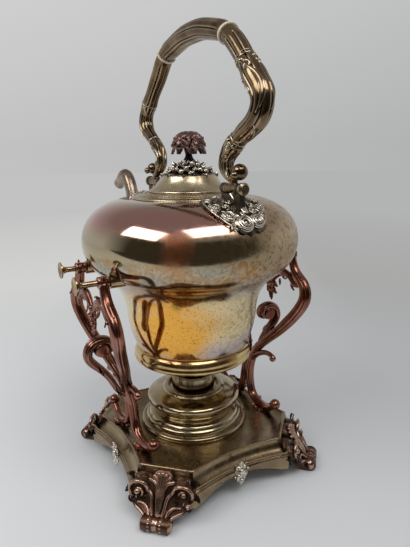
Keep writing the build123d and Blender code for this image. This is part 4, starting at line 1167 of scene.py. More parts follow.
@dataclass
class SwingHandle:
    """The fluted handle: two arms with leafy collars, ivory rings and a reeded grip. Sizes are in millimetres."""

    hinge_height: float = 260.0
    lean: float = 3.0
    crown: float = 122.5
    join: float = 50.0
    side: tuple[Point2, ...] = (
        (76.0, 12.3), (67.1, 7.4), (57.5, 16.0), (64.0, 30.0), (83.0, 43.0), (95.0, 53.0), (96.5, 62.0),
        (89.5, 73.0), (78.0, 86.0), (66.0, 99.0), (50.0, 112.5), (33.0, 118.0), (16.0, 121.7),
    )
    ring_thick: float = 1.8
    sway: tuple[Point2, Point2] = ((1.5, 1.0), (1.2, 0.6))
    steps: int = 420

    def route(self) -> list[Vector]:
        """Runs the whole handle from the front curl to the rear one, each arm swaying out by its own amount."""
        tilt = math.radians(self.lean)
        up = Vector((0, math.sin(tilt), math.cos(tilt)))
        front, rear = self.sway
        flat = [(-x, h, front) for x, h in self.side] + [(0.0, self.crown, rear)]
        places = []
        for x, h, (outward, aside) in flat + [(x, h, rear) for x, h in reversed(self.side)]:
            swell = smooth_step(18, 48, h) * (1 - smooth_step(98, 116, h))
            places.append(Vector((x + outward * swell, aside * swell, self.hinge_height)) + up * h)
        return smooth_path([place * MM for place in places], self.steps)

    def carved(self, flutes: Section, low: float, high: float, twist: float) -> Section:
        """Adds slanting knobs and swells to a fluted bar between two shares of its length."""

        def factor(angle: float, share: float) -> float:
            """Gives the share of the radius with knobs on it."""
            part = smooth_step(low - 0.04, low + 0.02, share) * (1 - smooth_step(high - 0.02, high + 0.05, share))
            rope = math.sin(3 * angle + twist * share) * 0.09 + math.sin(2 * angle - 31 * share) * 0.05
            return flutes(angle, share) * (1 - 0.02 * part) + rope * part

        return factor

    def ribbon(
        self, shape: BMesh, arm: Arm, centres: Sequence[Vector], frames: Sequence[Frame],
        turn: float, start: float, end: float, width: float, volute: bool,
    ) -> None:
        """Lays a ribbon of metal flush along the bar, ending in a volute if asked.

        Args:
            shape: The arm's mesh.
            arm: The arm.
            centres: The arm's route.
            frames: The arm's frames.
            turn: Where round the bar it lies, in radians.
            start: The share of the length where it starts.
            end: The share where it ends.
            width: The ribbon's width.
            volute: Whether a volute ends it.
        """
        last = len(centres) - 1
        line = []
        for i in range(12):
            share = blend(start, end, i / 11)
            index = int(share * last)
            angle = turn + 0.5 * math.sin(math.pi * i / 11)
            line.append(on_bar(centres[index], frames[index], size_at(share, arm.sizes), angle, 0.98))
        tangent, side, other = frames[int(blend(start, end, 0.5) * last)]
        out = side * math.cos(turn) + other * math.sin(turn)
        across = tangent.cross(out)
        stations = ((0.0, width * 0.3, width * 0.25), (0.4, width, width * 0.5), (1.0, width * 0.6, width * 0.45))
        sweep(shape, smooth_path(line, 26), across, stations, segments=12)
        if volute:
            way = 1 if end > start else -1
            scroll(shape, line[-1] + out * width * 0.1 * MM, tangent * way, across, width * 0.75, width * 0.34, 1.2)

    def one_arm(self, arm: Arm, centres: Sequence[Vector], across: Vector) -> None:
        """Builds an arm with its ornament, its curl's balls and its knuckle in the hinge."""
        shape = bmesh.new()
        flutes = reeded(7, 0.17, 0.28, 0.10, 0.985)
        sweep(shape, centres, across, arm.sizes, self.carved(flutes, 0.14, arm.carving, 55.0), 64)
        frames = frames_along(centres, across)
        last = len(centres) - 1
        for share, thick in arm.bands:
            index = int(share * last)
            size = size_at(share, arm.sizes)
            turns = (FULL_TURN * i / 40 for i in range(41))
            loop = [on_bar(centres[index], frames[index], size, turn, 1.01) for turn in turns]
            sweep(shape, loop, frames[index][0], even(thick), segments=10, rounded=False)
        for ribbon in arm.ribbons:
            self.ribbon(shape, arm, centres, frames, *ribbon)
        for share, turn, radius in arm.knobs:
            index = int(share * last)
            blob(shape, on_bar(centres[index], frames[index], size_at(share, arm.sizes), turn, 0.94), radius)
        way, level = arm.end.value, self.hinge_height
        reach, rise = self.side[0]
        ball = mm(way * reach, math.sin(math.radians(self.lean)) * rise, level + rise)
        blob(shape, ball, arm.ball)
        blob(shape, ball + mm(way * 1.2, -5.6, -2.0), 3.0)
        knuckle = [mm(way * x, 0, level) for x in (60.7, 61.2, 62.5, 68.0, 73.0, 74.6, 75.2)]
        sweep(shape, smooth_path(knuckle, 26), UP, even(8.4), segments=28, rounded=False)
        neck = [mm(way * 67.9, y, level + h) for y, h in ((0, 1.5), (0.2, 4.0), (0.4, 7.5))]
        sweep(shape, smooth_path(neck, 10), Vector((1, 0, 0)), ((0, 11, 6), (1, 9, 6)), segments=16)
        tag = arm.end.tag
        finish_piece(shape, f"arm_{tag}", "handle", "handle", (f"handle_arm_{tag}",), "handle_silver", 60.0, 2.4)

    def ivory_ring(self, end: End, centres: Sequence[Vector], across: Vector) -> None:
        """Builds the insulating ring at the top of an arm."""
        tip = centres[-1]
        route = [tip, tip + (tip - centres[-2]).normalized() * self.ring_thick * MM]
        wide, deep, swell = 17.8, 16.4, 1.03
        sizes = ((0, wide, deep), (0.5, wide * swell, deep * swell), (1, wide, deep))
        shape = bmesh.new()
        sweep(shape, smooth_path(route, 5), across, sizes, segments=48, rounded=False)
        finish_piece(shape, f"ring_{end.tag}", "ivory", "handle", (f"insulator_ring_{end.tag}",), "ivory")

    def build(self) -> None:
        """Builds the arms, rings and grip, and dresses the hinges."""
        line = self.route()
        tilt = math.radians(self.lean)
        across = Vector((0, -math.cos(tilt), math.sin(tilt)))
        first = min(range(self.steps // 2), key=lambda i: abs(line[i].x + self.join * MM))
        gap = int(round(self.ring_thick * MM / (line[1] - line[0]).length))
        for arm in ARMS:
            centres = (line if arm.end is End.FRONT else list(reversed(line)))[: first + 1]
            self.one_arm(arm, centres, across)
            self.ivory_ring(arm.end, centres, across)
        shape = bmesh.new()
        sizes = ((0.0, 15.5, 14.0), (0.12, 17.0, 15.0), (0.5, 17.5, 16.0), (0.88, 17.0, 15.0), (1.0, 15.5, 14.0))
        grip = line[first + gap : self.steps - first - gap]
        sweep(shape, grip, across, sizes, reeded(8, 0.15, 0.24, 0.02, 0.98), 72)
        finish_piece(shape, "grip_reeded", "handle", "handle", ("handle_grip",), "handle_silver", 60.0, 2.4)
        dress((f"hinge_bracket_{e.tag}" for e in End), "core")
        dress((f"hinge_pin_{e.tag}" for e in End), "hinge")


@dataclass
class Lid:
    """The lid with cast foliage round a leafy knob. Sizes are in millimetres."""

    knob_base: float = 285.6
    knob_height: float = 20.8
    knob_radius: float = 15.2
    crust: tuple[Point2, ...] = ((0.0, 277.4), (6.0, 276.4), (12.0, 273.2), (18.5, 269.9), (22.0, 268.0))

    def cover(self) -> None:
        """Builds the spun cover with its plug."""
        profile = (
            (0.0, 269.5), (21.3, 269.0), (24.3, 268.0), (24.9, 266.6), (25.8, 264.6), (27.4, 262.5), (30.0, 259.2),
            (33.2, 256.6), (35.0, 256.2), (35.6, 255.4), (35.6, 254.2), (31.2, 254.2), (31.2, 247.1), (30.1, 247.1),
            (30.1, 255.3), (26.2, 261.2), (23.2, 266.7), (0.0, 266.8),
        )
        Turning("lid_spun", "lid_cover", "cover", "lid", "body_silver", 1.1, profile, closed=False).build()

    def shade(self, place: Vector) -> float:
        """Paints shade on the metal close to the mound under the leaves."""
        reaches, heights = zip(*self.crust)
        height = float(np.interp(math.hypot(place.x, place.y) / MM, reaches, heights)) * MM
        return 1 - smooth_step(0.4 * MM, 1.8 * MM, place.z - height)

    def foliage(self) -> None:
        """Builds leaves, berries and scrolls heaped round the stem, as rings of (count, radius, height, tilt, size)."""
        rings = (
            (10, 14.6, 270.4, -0.22, 11.0), (8, 9.5, 273.2, 0.05, 11.0), (6, 5.5, 275.6, 0.3, 9.5),
            (5, 2.6, 276.8, 0.7, 6.5),
        )
        shape = bmesh.new()
        chance = random.Random(5)
        for ring, (count, radius, height, tilt, size) in enumerate(rings):
            for k in range(count):
                angle = FULL_TURN * (k + 0.5 * (ring % 2)) / count + chance.uniform(-0.16, 0.16)
                out, round_way = compass(angle)
                way = out + round_way * chance.uniform(-0.5, 0.5) + UP * tilt
                base = (out * radius + UP * height) * MM
                leaf(shape, base, way, UP + out * 0.5, size, size * 0.72, 0.10, 3, 1.3)
                spot, round_way = compass(angle + math.pi / count)
                middle = (spot * (radius + 4.0) + UP * (height + 1.2)) * MM
                if k % 2:
                    across = (round_way + UP * 0.3).normalized()
                    scroll(shape, middle, across, (spot - UP * 0.5).normalized(), 3.0, 1.4, 1.2, angle)
                else:
                    blob(shape, middle, chance.uniform(1.7, 2.4))
        mound = [*self.crust[:4], (22.0, 268.9), (21.3, 269.1), (0.0, 269.6)]
        lathe(shape, softened(mound, 1.5), steps=48, closed=False)
        finish_piece(shape, "lid_leaves", "cast", "lid", ("lid_foliage",), "cast_silver", 50.0, 1.2, self.shade)

    def knob(self) -> None:
        """Builds the dark stem and the drooping cap of leaves, as rings of (count, height, radius, tilt, size)."""
        stem = (
            (0.0, 262.7), (2.0, 262.7), (2.0, 280.0), (5.2, 280.4), (3.4, 283.0), (2.8, 285.4), (4.2, 289.6),
            (0.0, 289.8),
        )
        Turning(
            "knob_stem_turned", "knob_stem", "stem", "lid", "knob_copper", 1.0, stem, steps=40, closed=False
        ).build()
        dome = (
            (0.0, 304.6), (5.0, 304.2), (9.6, 302.4), (12.4, 299.2), (13.0, 296.0), (11.5, 292.4), (8.0, 290.4),
            (0.0, 289.2),
        )
        shape = bmesh.new()
        lathe(shape, softened(dome, 2.2, 5), steps=96, closed=False)
        for vert in shape.verts:
            angle = math.atan2(vert.co.y, vert.co.x)
            drop = smooth_step(306 * MM, 294 * MM, vert.co.z)
            wave = 0.5 + 0.5 * math.cos(angle * 9 + 2.2 * math.sin(angle * 2))
            reach = 1 + (wave - 0.6) * 0.14 * drop + noise.noise(vert.co * 420) * 0.9 * 0.10
            vert.co.xy *= reach
        rings = (
            (11, 297.5, 10.6, -2.0, 12.0), (10, 301.0, 8.6, -0.9, 10.5), (8, 303.2, 4.6, -0.35, 9.5),
            (5, 304.4, 1.2, -0.02, 7.0),
        )
        chance = random.Random(3)
        for count, height, radius, tilt, size in rings:
            for k in range(count):
                out, _ = compass(FULL_TURN * k / count + chance.uniform(-0.16, 0.16))
                face = UP + out * max(-tilt, 0.1) * 1.2
                base = (out * radius + UP * height) * MM
                leaf(shape, base, out + UP * tilt, face, size, size * 0.6, -0.1, 4, 0.9)
        low, high, widest = self.knob_base * MM, (self.knob_base + self.knob_height) * MM, self.knob_radius * MM
        for vert in shape.verts:
            vert.co.z = min(max(vert.co.z, low), high)
            reach = vert.co.xy.length
            if reach > widest:
                vert.co.xy *= widest / reach
        finish_piece(shape, "knob_leafy", "knob", "lid", ("knob_flower",), "knob_copper", 50.0, 1.2)
        dress(("knob_nut",), "pin")

    def build(self) -> None:
        """Builds the lid's pieces."""
        self.cover()
        self.foliage()
        self.knob()


# Stand


@dataclass
class BasePlate:
    """The plate with its beaded rim and moulded apron on arches. Sizes are in millimetres."""

    waist: float = 72.5
    far: float = 78.0
    near: float = 45.0
    low: float = 9.0
    arch_rise: float = 11.0
    arch_half: float = 49.0

    def outline(self) -> list[tuple[Vector, Vector, float]]:
        """Gives the outline's points, each with its outward mitre and its place along its side."""
        rise = self.far - self.waist
        radius = (self.near**2 + rise**2) / (2 * rise)
        steps, cut_steps = 28, 8
        slant = math.sqrt(0.5)
        quarter: list[tuple[Vector, Vector, float]] = []
        limit = math.asin(self.near / radius)
        for i in range(steps + 1):
            angle = blend(-limit, limit, i / steps)
            x = radius * math.sin(angle)
            y = -(self.waist + radius * (1 - math.cos(angle)))
            normal = Vector((-math.sin(angle), -math.cos(angle)))
            if i in (0, steps):
                cut = Vector((math.copysign(slant, x), -slant))
                normal = (normal + cut) / (1 + normal.dot(cut))
            quarter.append((Vector((x, y)), normal, x))
        for i in range(1, cut_steps):
            part = i / cut_steps
            place = Vector((blend(self.near, self.far, part), -blend(self.far, self.near, part)))
            quarter.append((place, Vector((slant, -slant)), self.arch_half))
        points = []
        for turn in range(4):
            spin = Matrix.Rotation(turn * QUARTER, 2)
            points += [(spin @ place, spin @ normal, along) for place, normal, along in quarter]
        return points

    def arch(self, along: float) -> float:
        """Gives how far the apron's lower edge is raised at a place along its side."""
        radius = (self.arch_half**2 + self.arch_rise**2) / (2 * self.arch_rise)
        along = min(abs(along), self.arch_half)
        return self.arch_rise - (radius - math.sqrt(radius**2 - along**2))

    def build(self) -> None:
        """Builds the plate from rings of (set out, height, share of the arch), from the top sheet out and back."""
        rows = (
            (-3.4, 37.3, 0.0), (-2.9, 37.5, 0.0), (-2.5, 38.1, 0.0), (-1.8, 38.45, 0.0), (-1.0, 38.45, 0.0),
            (-0.2, 38.1, 0.0), (0.2, 37.4, 0.0), (0.1, 36.7, 0.0), (0.5, 35.0, 0.0), (1.2, 32.6, 0.05),
            (2.4, 30.4, 0.1), (4.2, 28.6, 0.12), (6.2, 27.6, 0.15), (6.9, 27.4, 0.15), (7.1, 26.7, 0.15),
            (7.0, 25.8, 0.2), (7.8, 25.5, 0.2), (8.2, 24.8, 0.2), (8.0, 23.9, 0.25), (8.7, 23.5, 0.3),
            (9.0, 22.4, 0.35), (9.0, 20.6, 0.45), (8.7, 19.0, 0.6), (8.4, 18.0, 0.8), (8.1, 9.3, 1.0),
            (7.7, 9.0, 1.0), (6.3, 9.0, 1.0), (6.0, 9.6, 1.0), (6.2, 21.0, 0.5), (3.0, 27.0, 0.1), (0.0, 30.0, 0.0),
            (-2.0, 35.3, 0.0),
        )
        outline = self.outline()

        def shape_row(ring: Ring, row: Point3) -> None:
            """Sets a ring of the plate from its row."""
            out, height, arched = row
            share = arched if height < 12 else arched * 0.35
            for vert, (place, mitre, along) in zip(ring, outline):
                spot = place + mitre * out
                vert.co = mm(spot.x, spot.y, height + self.arch(along) * share)

        shape = bmesh.new()
        ring = [shape.verts.new((0, 0, 0)) for _ in outline]
        for first, second in zip(ring, [*ring[1:], ring[0]]):
            shape.edges.new((first, second))
        skin_rings(shape, ring, rows, shape_row)
        finish_piece(shape, "plinth_moulded", "plate", "stand", ("base_plinth",), "stand_silver", 45.0, 2.0)
        dress(("leg_nuts",), "pin")


@dataclass
class CornerFeet:
    """Cast feet: a fan of ribs between two volutes, over a pair of rolled toes. Sizes are in millimetres."""

    profile: tuple[Point2, ...] = ((0.0, 113.0), (7.2, 111.5), (12.6, 106.0), (20.0, 101.5), (28.0, 96.5), (37.0, 89.5))
    toe_radius: float = 6.0
    toe_middle: float = 113.0

    def reach_at(self, height: float) -> float:
        """Gives how far out the foot's face stands at a height."""
        return float(np.interp(height, *zip(*self.profile)))

    def one_foot(self, corner: str, out: Vector, aside: Vector) -> None:
        """Builds the relief of one foot."""

        def at(u: float, z: float, lift: float) -> Vector:
            """Gives a place over the foot's face, in metres."""
            return (out * (self.reach_at(z) + lift + 1.0 - 0.0042 * u * u) + aside * u + UP * z) * MM

        def shade(place: Vector) -> float:
            """Paints shade on the metal close to the foot's face."""
            reach = Vector((place.x, place.y, 0)).dot(out)
            return 1 - smooth_step(0.4 * MM, 2.2 * MM, reach - self.reach_at(place.z / MM) * MM)

        shape = bmesh.new()
        for k in range(-3, 4):
            lean = k / 3
            tip = at(lean * 9.6, 36.2 - 4.4 * lean * lean, 1.4)
            line = [at(lean * 0.9, 13.0, 1.6), at(lean * 2.2, 21.0, 1.2), at(lean * 5.2, 30.0, 0.6), tip]
            sweep(shape, smooth_path(line, 18), out, ((0, 1.6, 1.8), (0.6, 2.6, 2.8), (1, 3.3, 3.4)), segments=10)
            blob(shape, tip, 1.75)
        for sign in (-1, 1):

            def on(u: float, z: float, lift: float) -> Vector:
                """Gives a place on this side of the foot."""
                return at(sign * u, z, lift)

            outward = aside * sign
            tail = [on(3.4, 8.5, 1.8), on(5.4, 16.5, 1.4), on(8.2, 24.0, 1.0)]
            scroll(shape, on(19.0, 24.0, 1.6), -outward, UP, 9.6, 3.2, 1.35, 0.1, tail)
            sizes = ((0, 2.6, 2.4), (0.5, 3.2, 3.0), (1, 2.2, 2.0))
            for stem in (
                ((6.4, 8.0, 1.4), (8.6, 13.0, 1.0), (12.6, 16.4, 0.9), (17.5, 16.6, 1.0)),
                ((9.6, 8.4, 0.6), (13.5, 11.0, 0.2), (18.8, 13.0, 0.2), (23.5, 16.4, 0.2)),
            ):
                sweep(shape, smooth_path([on(*point) for point in stem], 20), out, sizes, segments=10)
            for place, way, length, width in (
                ((22.0, 31.0, -0.5), outward + UP * 0.25, 9, 6),
                ((20.0, 30.5, 1.0), outward * 0.4 + UP, 7, 5),
                ((25.5, 24.0, -1.0), outward - UP * 0.8, 8, 5.5),
            ):
                leaf(shape, on(*place), way, out, length, width, 0.1, 3, 1.2)
            scroll(shape, on(23.5, 17.6, 1.0), outward, UP, 4.2, 1.9, 1.2, 2.6)
            for k, height in enumerate((20.5, 17.5, 14.4)):
                way = outward * 0.9 - UP * 0.5
                leaf(shape, on(10.8 + k * 0.6, height + 3, 0.4), way, out, 7.5, 3.6, 0.1, 3, 1.0)
            toe = out * self.toe_middle + UP * self.toe_radius
            line = [(toe + outward * u) * MM for u in (1.4, 5.0, 8.4)]
            size = self.toe_radius * 2 * 0.985
            sizes = ((0, size * 0.9, size * 0.9), (0.5, size, size), (1, size * 0.9, size * 0.9))
            sweep(shape, smooth_path(line, 12), out, sizes, reeded(7, 0.14, 0.3), 42)
            scroll(shape, (toe + outward * 9.4) * MM, out, UP * sign, 4.6, 1.5, 1.4, 1.0)
            leaf(shape, on(6.6, 14.5, 0.8), out * 0.8 - UP, out + UP * 0.4, 9.0, 7.6, 0.02, 3, 1.2)
        for vert in shape.verts:
            vert.co.z = max(vert.co.z, 0.0)
        finish_piece(shape, f"foot_relief_{corner}", "foot", "stand", (), "foot_copper", 50.0, 1.3, shade)

    def build(self) -> None:
        """Builds the relief of all four feet over their CAD cores."""
        corners = ("rear_right", "front_right", "front_left", "rear_left")
        dress((f"foot_{corner}" for corner in corners), "foot_core")
        for number, corner in enumerate(corners):
            self.one_foot(corner, *compass(math.pi / 4 + number * QUARTER))


@dataclass
class ApronSprigs:
    """Small cast sprigs of leaves in the middle of each apron side. Sizes are in millimetres."""

    reach: float = 81.5
    middle: float = 23.0
    limit: float = 84.4
    leaves: tuple[Point2, ...] = (
        (90, 10.5), (55, 8.5), (125, 8.5), (20, 6.5), (160, 6.5), (-25, 6.5), (205, 6.5), (-65, 8.0), (245, 8.0),
        (-90, 10.5),
    )
    berries: tuple[Point3, ...] = (
        (0, 1, 2.6), (3.0, -2.5, 1.7), (-3.0, -2.5, 1.7), (2.4, 5.2, 1.5), (-2.4, 5.2, 1.5), (0, -7.5, 1.9),
        (0, 8.8, 1.4),
    )

    def build(self) -> None:
        """Builds the four sprigs over their CAD cores."""
        for number, side in enumerate(("rear", "right", "front", "left")):
            out, aside = compass(number * QUARTER)
            shape = bmesh.new()
            centre = (out * self.reach + UP * self.middle) * MM
            for k, (angle, size) in enumerate(self.leaves):
                way = aside * math.cos(math.radians(angle)) + UP * math.sin(math.radians(angle))
                start = centre + way * 1.2 * MM + out * (0.2 + 0.25 * (k % 2)) * MM
                leaf(shape, start, way, out, size, size * 0.52, 0.05, 3, 1.2)
            for u, z, size in self.berries:
                blob(shape, centre + (out + aside * u + UP * z) * MM, size)
            for vert in shape.verts:
                vert.co -= out * max(vert.co.dot(out) - self.limit * MM, 0.0)
            finish_piece(
                shape, f"sprig_{side}", "cast", "stand", (f"apron_sprig_{side}",), "stand_silver", 50.0, 1.2
            )


@dataclass
class SideFrames:
    """The leaning scroll legs of both sides, with their crests and brackets. Sizes are in millimetres."""

    foot_y: float = 64.0
    eye_y: float = 92.9
    lean_from: float = 62.0
    lean_to: float = 165.0
    tilt_reach: float = 29.0
    tilt_height: float = 191.5
    plate: float = 37.3
    leg: tuple[Point2, ...] = (
        (31.0, 189.5), (36.5, 176.5), (48.0, 166.0), (51.5, 155.0), (47.0, 142.0), (37.0, 127.0), (23.5, 111.0),
        (11.5, 98.5), (5.0, 86.0), (3.8, 72.0), (5.4, 58.0), (10.0, 46.8), (24.0, 40.9), (36.0, 42.3), (43.0, 46.8),
    )
    leg_sizes: tuple[Point3, ...] = (
        (0.0, 8.0, 7.0), (0.08, 9.0, 8.5), (0.2, 9.8, 11.8), (0.34, 9.4, 10.8), (0.5, 8.8, 8.4), (0.66, 8.6, 7.6),
        (0.84, 8.2, 7.2), (1.0, 6.5, 5.6),
    )
    curl: tuple[Point2, ...] = ((3.5, 76.0), (7.5, 85.5), (15.0, 91.5), (25.0, 94.3), (33.0, 93.5))
    crest: tuple[Point2, ...] = ((42.7, 164.3), (36.7, 163.5), (29.5, 169.0), (21.0, 172.5), (10.5, 169.0))
    leaf_top: float = 161.5
    bracket: tuple[Point2, ...] = (
        (70.0, 79.0), (74.8, 83.5), (81.8, 96.0), (93.0, 110.5), (100.5, 122.0), (97.0, 131.0), (87.0, 134.0),
        (80.5, 130.5), (80.8, 125.0), (85.5, 123.6), (87.6, 126.8),
    )
    bracket_half: float = 5.4

    def frame_y(self, height: float) -> float:
        """Gives how far from the axis a side frame stands at a height."""
        return blend(self.foot_y, self.eye_y, smooth_step(self.lean_from, self.lean_to, height))

    def place(self, end: End, side: Side, x: float, z: float, out: float = 0.0) -> Vector:
        """Gives a place in a side frame, in metres."""
        return mm(end.value * x, side.value * (self.frame_y(z) + out), z)

    def eye(self, shape: BMesh, end: End, side: Side) -> None:
        """Adds the eye that a pin goes through, with the three leaves on top of it."""
        outward = Vector((0, side.value, 0))
        middle = mm(end.value * self.tilt_reach, side.value * self.eye_y, self.tilt_height)
        barrel = (
            (2.4, -4.4), (3.9, -4.5), (4.8, -3.6), (4.5, -2.4), (4.9, 0.0), (4.5, 2.4), (4.8, 3.6), (3.9, 4.5),
            (2.4, 4.4),
        )
        lathe(shape, softened(barrel, 0.8), Matrix.Translation(middle) @ Matrix.Rotation(QUARTER, 4, "X"), 40)
        tip_way = Vector((end.value * 0.75, 0, 1.0))
        top = self.place(end, side, self.tilt_reach + 1.5, self.tilt_height - 1.0) - tip_way.normalized() * MM
        for spread, size in ((0.0, 9.5), (0.6, 7.5), (-0.6, 7.0)):
            face = Vector((end.value, side.value * (0.3 + spread), 0.2))
            leaf(shape, top, tip_way + outward * spread, face, size, 5, -0.05, 3, 1.2)

    def one_leg(self, end: End, side: Side) -> None:
        """Builds a leg with its reeds, curls, balls, eye, finial and pad."""
        shape = bmesh.new()
        outward = Vector((0, side.value, 0))
        centres = smooth_path([self.place(end, side, x, z) for x, z in self.leg], 150)
        sweep(shape, centres, outward, self.leg_sizes, reeded(5, 0.17, 0.30, 0.05, 0.93), 48)
        curl = smooth_path([self.place(end, side, x, z) for x, z in self.curl], 30)
        sweep(shape, curl, outward, ((0, 7.0, 5), (0.5, 6.5, 5.2), (1, 5, 4)), reeded(6, 0.15, 0.3), 32)
        blob(shape, curl[-1] - UP * 1.6 * MM, 3.3)
        ball = self.place(end, side, 46.0, self.plate) + UP * 13.5 * MM
        ball.y = side.value * self.foot_y * MM
        blob(shape, ball, 5.0)
        neck = smooth_path([centres[-1], centres[-1].lerp(ball, 0.5), ball], 8)
        sweep(shape, neck, outward, ((0, 6.0, 5.6), (1, 5.6, 5.6)), segments=16)
        self.eye(shape, end, side)
        frames = frames_along(centres, outward)
        for share, way, size in ((0.10, 1, 12.0), (0.10, 1, 12.0), (0.62, -1, 11.0), (0.86, -1, 10.0)):
            index = int(share * (len(centres) - 1))
            tangent, across, other = frames[index]
            wide, deep = size_at(share, self.leg_sizes)
            for sign in (-1, 1):
                start = centres[index] + other * sign * deep / 2 * 0.85 * MM
                leaf(shape, start, tangent * way, other * sign + across * 0.4, size, size * 0.5, 0.12, 3, 1.0)
            start = centres[index] + across * wide / 2 * 0.9 * MM
            leaf(shape, start, tangent * way, across, size, size * 0.55, 0.1, 3, 1.0)
        pad = mm(end.value * 24.0, side.value * self.foot_y, self.plate)
        petals = 9
        for k in range(petals):
            angle = FULL_TURN * k / petals
            way = Vector((math.cos(angle), math.sin(angle) * 0.6, 0.12))
            leaf(shape, pad + UP * MM, way, UP, 10.0, 5.0, 0.04, 3, 1.1)
        radius = 2.0 * MM
        stud = bmesh.ops.create_cone(
            shape, segments=20, radius1=radius, radius2=radius, depth=12 * MM, cap_ends=True
        )["verts"]
        bmesh.ops.translate(shape, vec=pad - UP * 3.0 * MM, verts=stud)
        name = f"{end.tag}_{side.tag}"
        finish_piece(shape, f"leg_reeded_{name}", "leg", "stand", (f"leg_{name}",), "leg_copper", 55.0, 2.2)

    def one_crest(self, side: Side) -> None:
        """Builds the arched crest with its hanging cluster of leaves."""
        shape = bmesh.new()
        outward = Vector((0, side.value, 0))
        points = [*self.crest, (0.0, self.leaf_top), *((-x, z) for x, z in reversed(self.crest))]
        line = smooth_path([self.place(End.REAR, side, x, z) for x, z in points], 110)
        sizes = (
            (0.0, 5.0, 4.4), (0.12, 5.0, 4.4), (0.28, 6.0, 7.5), (0.5, 4.5, 5.0), (0.72, 6.0, 7.5), (0.88, 5.0, 4.4),
            (1.0, 5.0, 4.4),
        )
        sweep(shape, line, outward, sizes, reeded(6, 0.18, 0.32), 36)
        leaves = (
            (23, 175.5, (-0.9, 0.5), 9), (27, 173.0, (0.8, 0.6), 8), (15, 167.0, (-0.5, -0.9), 8),
            (31, 166, (0.3, -1), 7),
        )
        for end in End:
            for x, z, way, size in leaves:
                grow = Vector((end.value * way[0], side.value * 0.25, way[1]))
                leaf(shape, self.place(end, side, x, z - 2), grow, outward, size, size * 0.55, 0.1, 3, 1.1)
            scroll(shape, self.place(end, side, 20.0, 169.5, 1.6), Vector((end.value, 0, 0)), UP, 4.6, 1.9, 1.3, 2.0)
        cluster = (
            (0, 4, (0, -1), 13), (-2, 1, (-0.75, -0.7), 9), (2, 1, (0.75, -0.7), 9), (0, -5, (0, -1), 14),
            (-1.5, -5, (-0.6, -0.8), 9.5), (1.5, -5, (0.6, -0.8), 9.5), (0, -11, (0, -1), 9.6),
        )
        hang = self.place(End.REAR, side, 0.0, self.leaf_top)
        for x, z, way, size in cluster:
            grow = Vector((way[0], side.value * 0.1, way[1]))
            leaf(shape, hang + mm(x, side.value * 0.6, z), grow, outward, size, size * 0.68, 0.04, 4, 1.6)
        for z, size in ((2.0, 2.6), (-5.0, 2.2), (-11.5, 1.8)):
            blob(shape, hang + mm(0, side.value * 1.8, z), size)
        name = side.tag
        finish_piece(shape, f"crest_leafy_{name}", "leg", "stand", (f"crest_{name}",), "leg_copper", 50.0, 1.6)

    def one_bracket(self, side: Side) -> None:
        """Builds the ribbed bracket that rolls over at its end."""
        shape = bmesh.new()
        line = smooth_path([mm(0, side.value * y, z) for y, z in self.bracket], 120)
        sizes = (
            (0.0, 6.5, 5.2), (0.3, 9.0, 6.2), (0.5, 10.2, 7.4), (0.7, 10.6, 7.6), (0.85, 10.6, 6.4), (1.0, 9.0, 4.6),
        )
        across = Vector((1, 0, 0))
        sweep(shape, line, across, sizes, reeded(8, 0.2, 0.3, 0.0, 0.97), 48)
        roll = smooth_path([mm(x, side.value * 89.0, 126.0) for x in (-5.0, 0.0, 5.0)], 8)
        sweep(shape, roll, UP, ((0, 11.5, 11.5), (0.5, 13, 13), (1, 11.5, 11.5)), reeded(9, 0.16, 0.3), 40)
        for share, size in ((0.05, 10.0), (0.32, 11.0)):
            index = int(share * (len(line) - 1))
            tangent = (line[index + 1] - line[index]).normalized()
            for outward in (-across, across):
                face = outward + tangent.cross(across) * 0.8
                start = line[index] + outward * 3.4 * MM
                leaf(shape, start, tangent + outward * 0.35, face, size, size * 0.45, 0.12, 3, 1.0)
        limit = self.bracket_half * MM
        for vert in shape.verts:
            vert.co.x = min(max(vert.co.x, -limit), limit)
        name = side.tag
        replaces = (f"scroll_bracket_{name}",)
        finish_piece(shape, f"bracket_ribbed_{name}", "leg", "stand", replaces, "leg_copper", 50.0, 2.0)

    def build(self) -> None:
        """Builds both side frames and dresses the pins."""
        for side in Side:
            for end in End:
                self.one_leg(end, side)
            self.one_crest(side)
            self.one_bracket(side)
        dress(("pivot_pin_left", "pivot_pin_right", "lock_pin"), "pin")


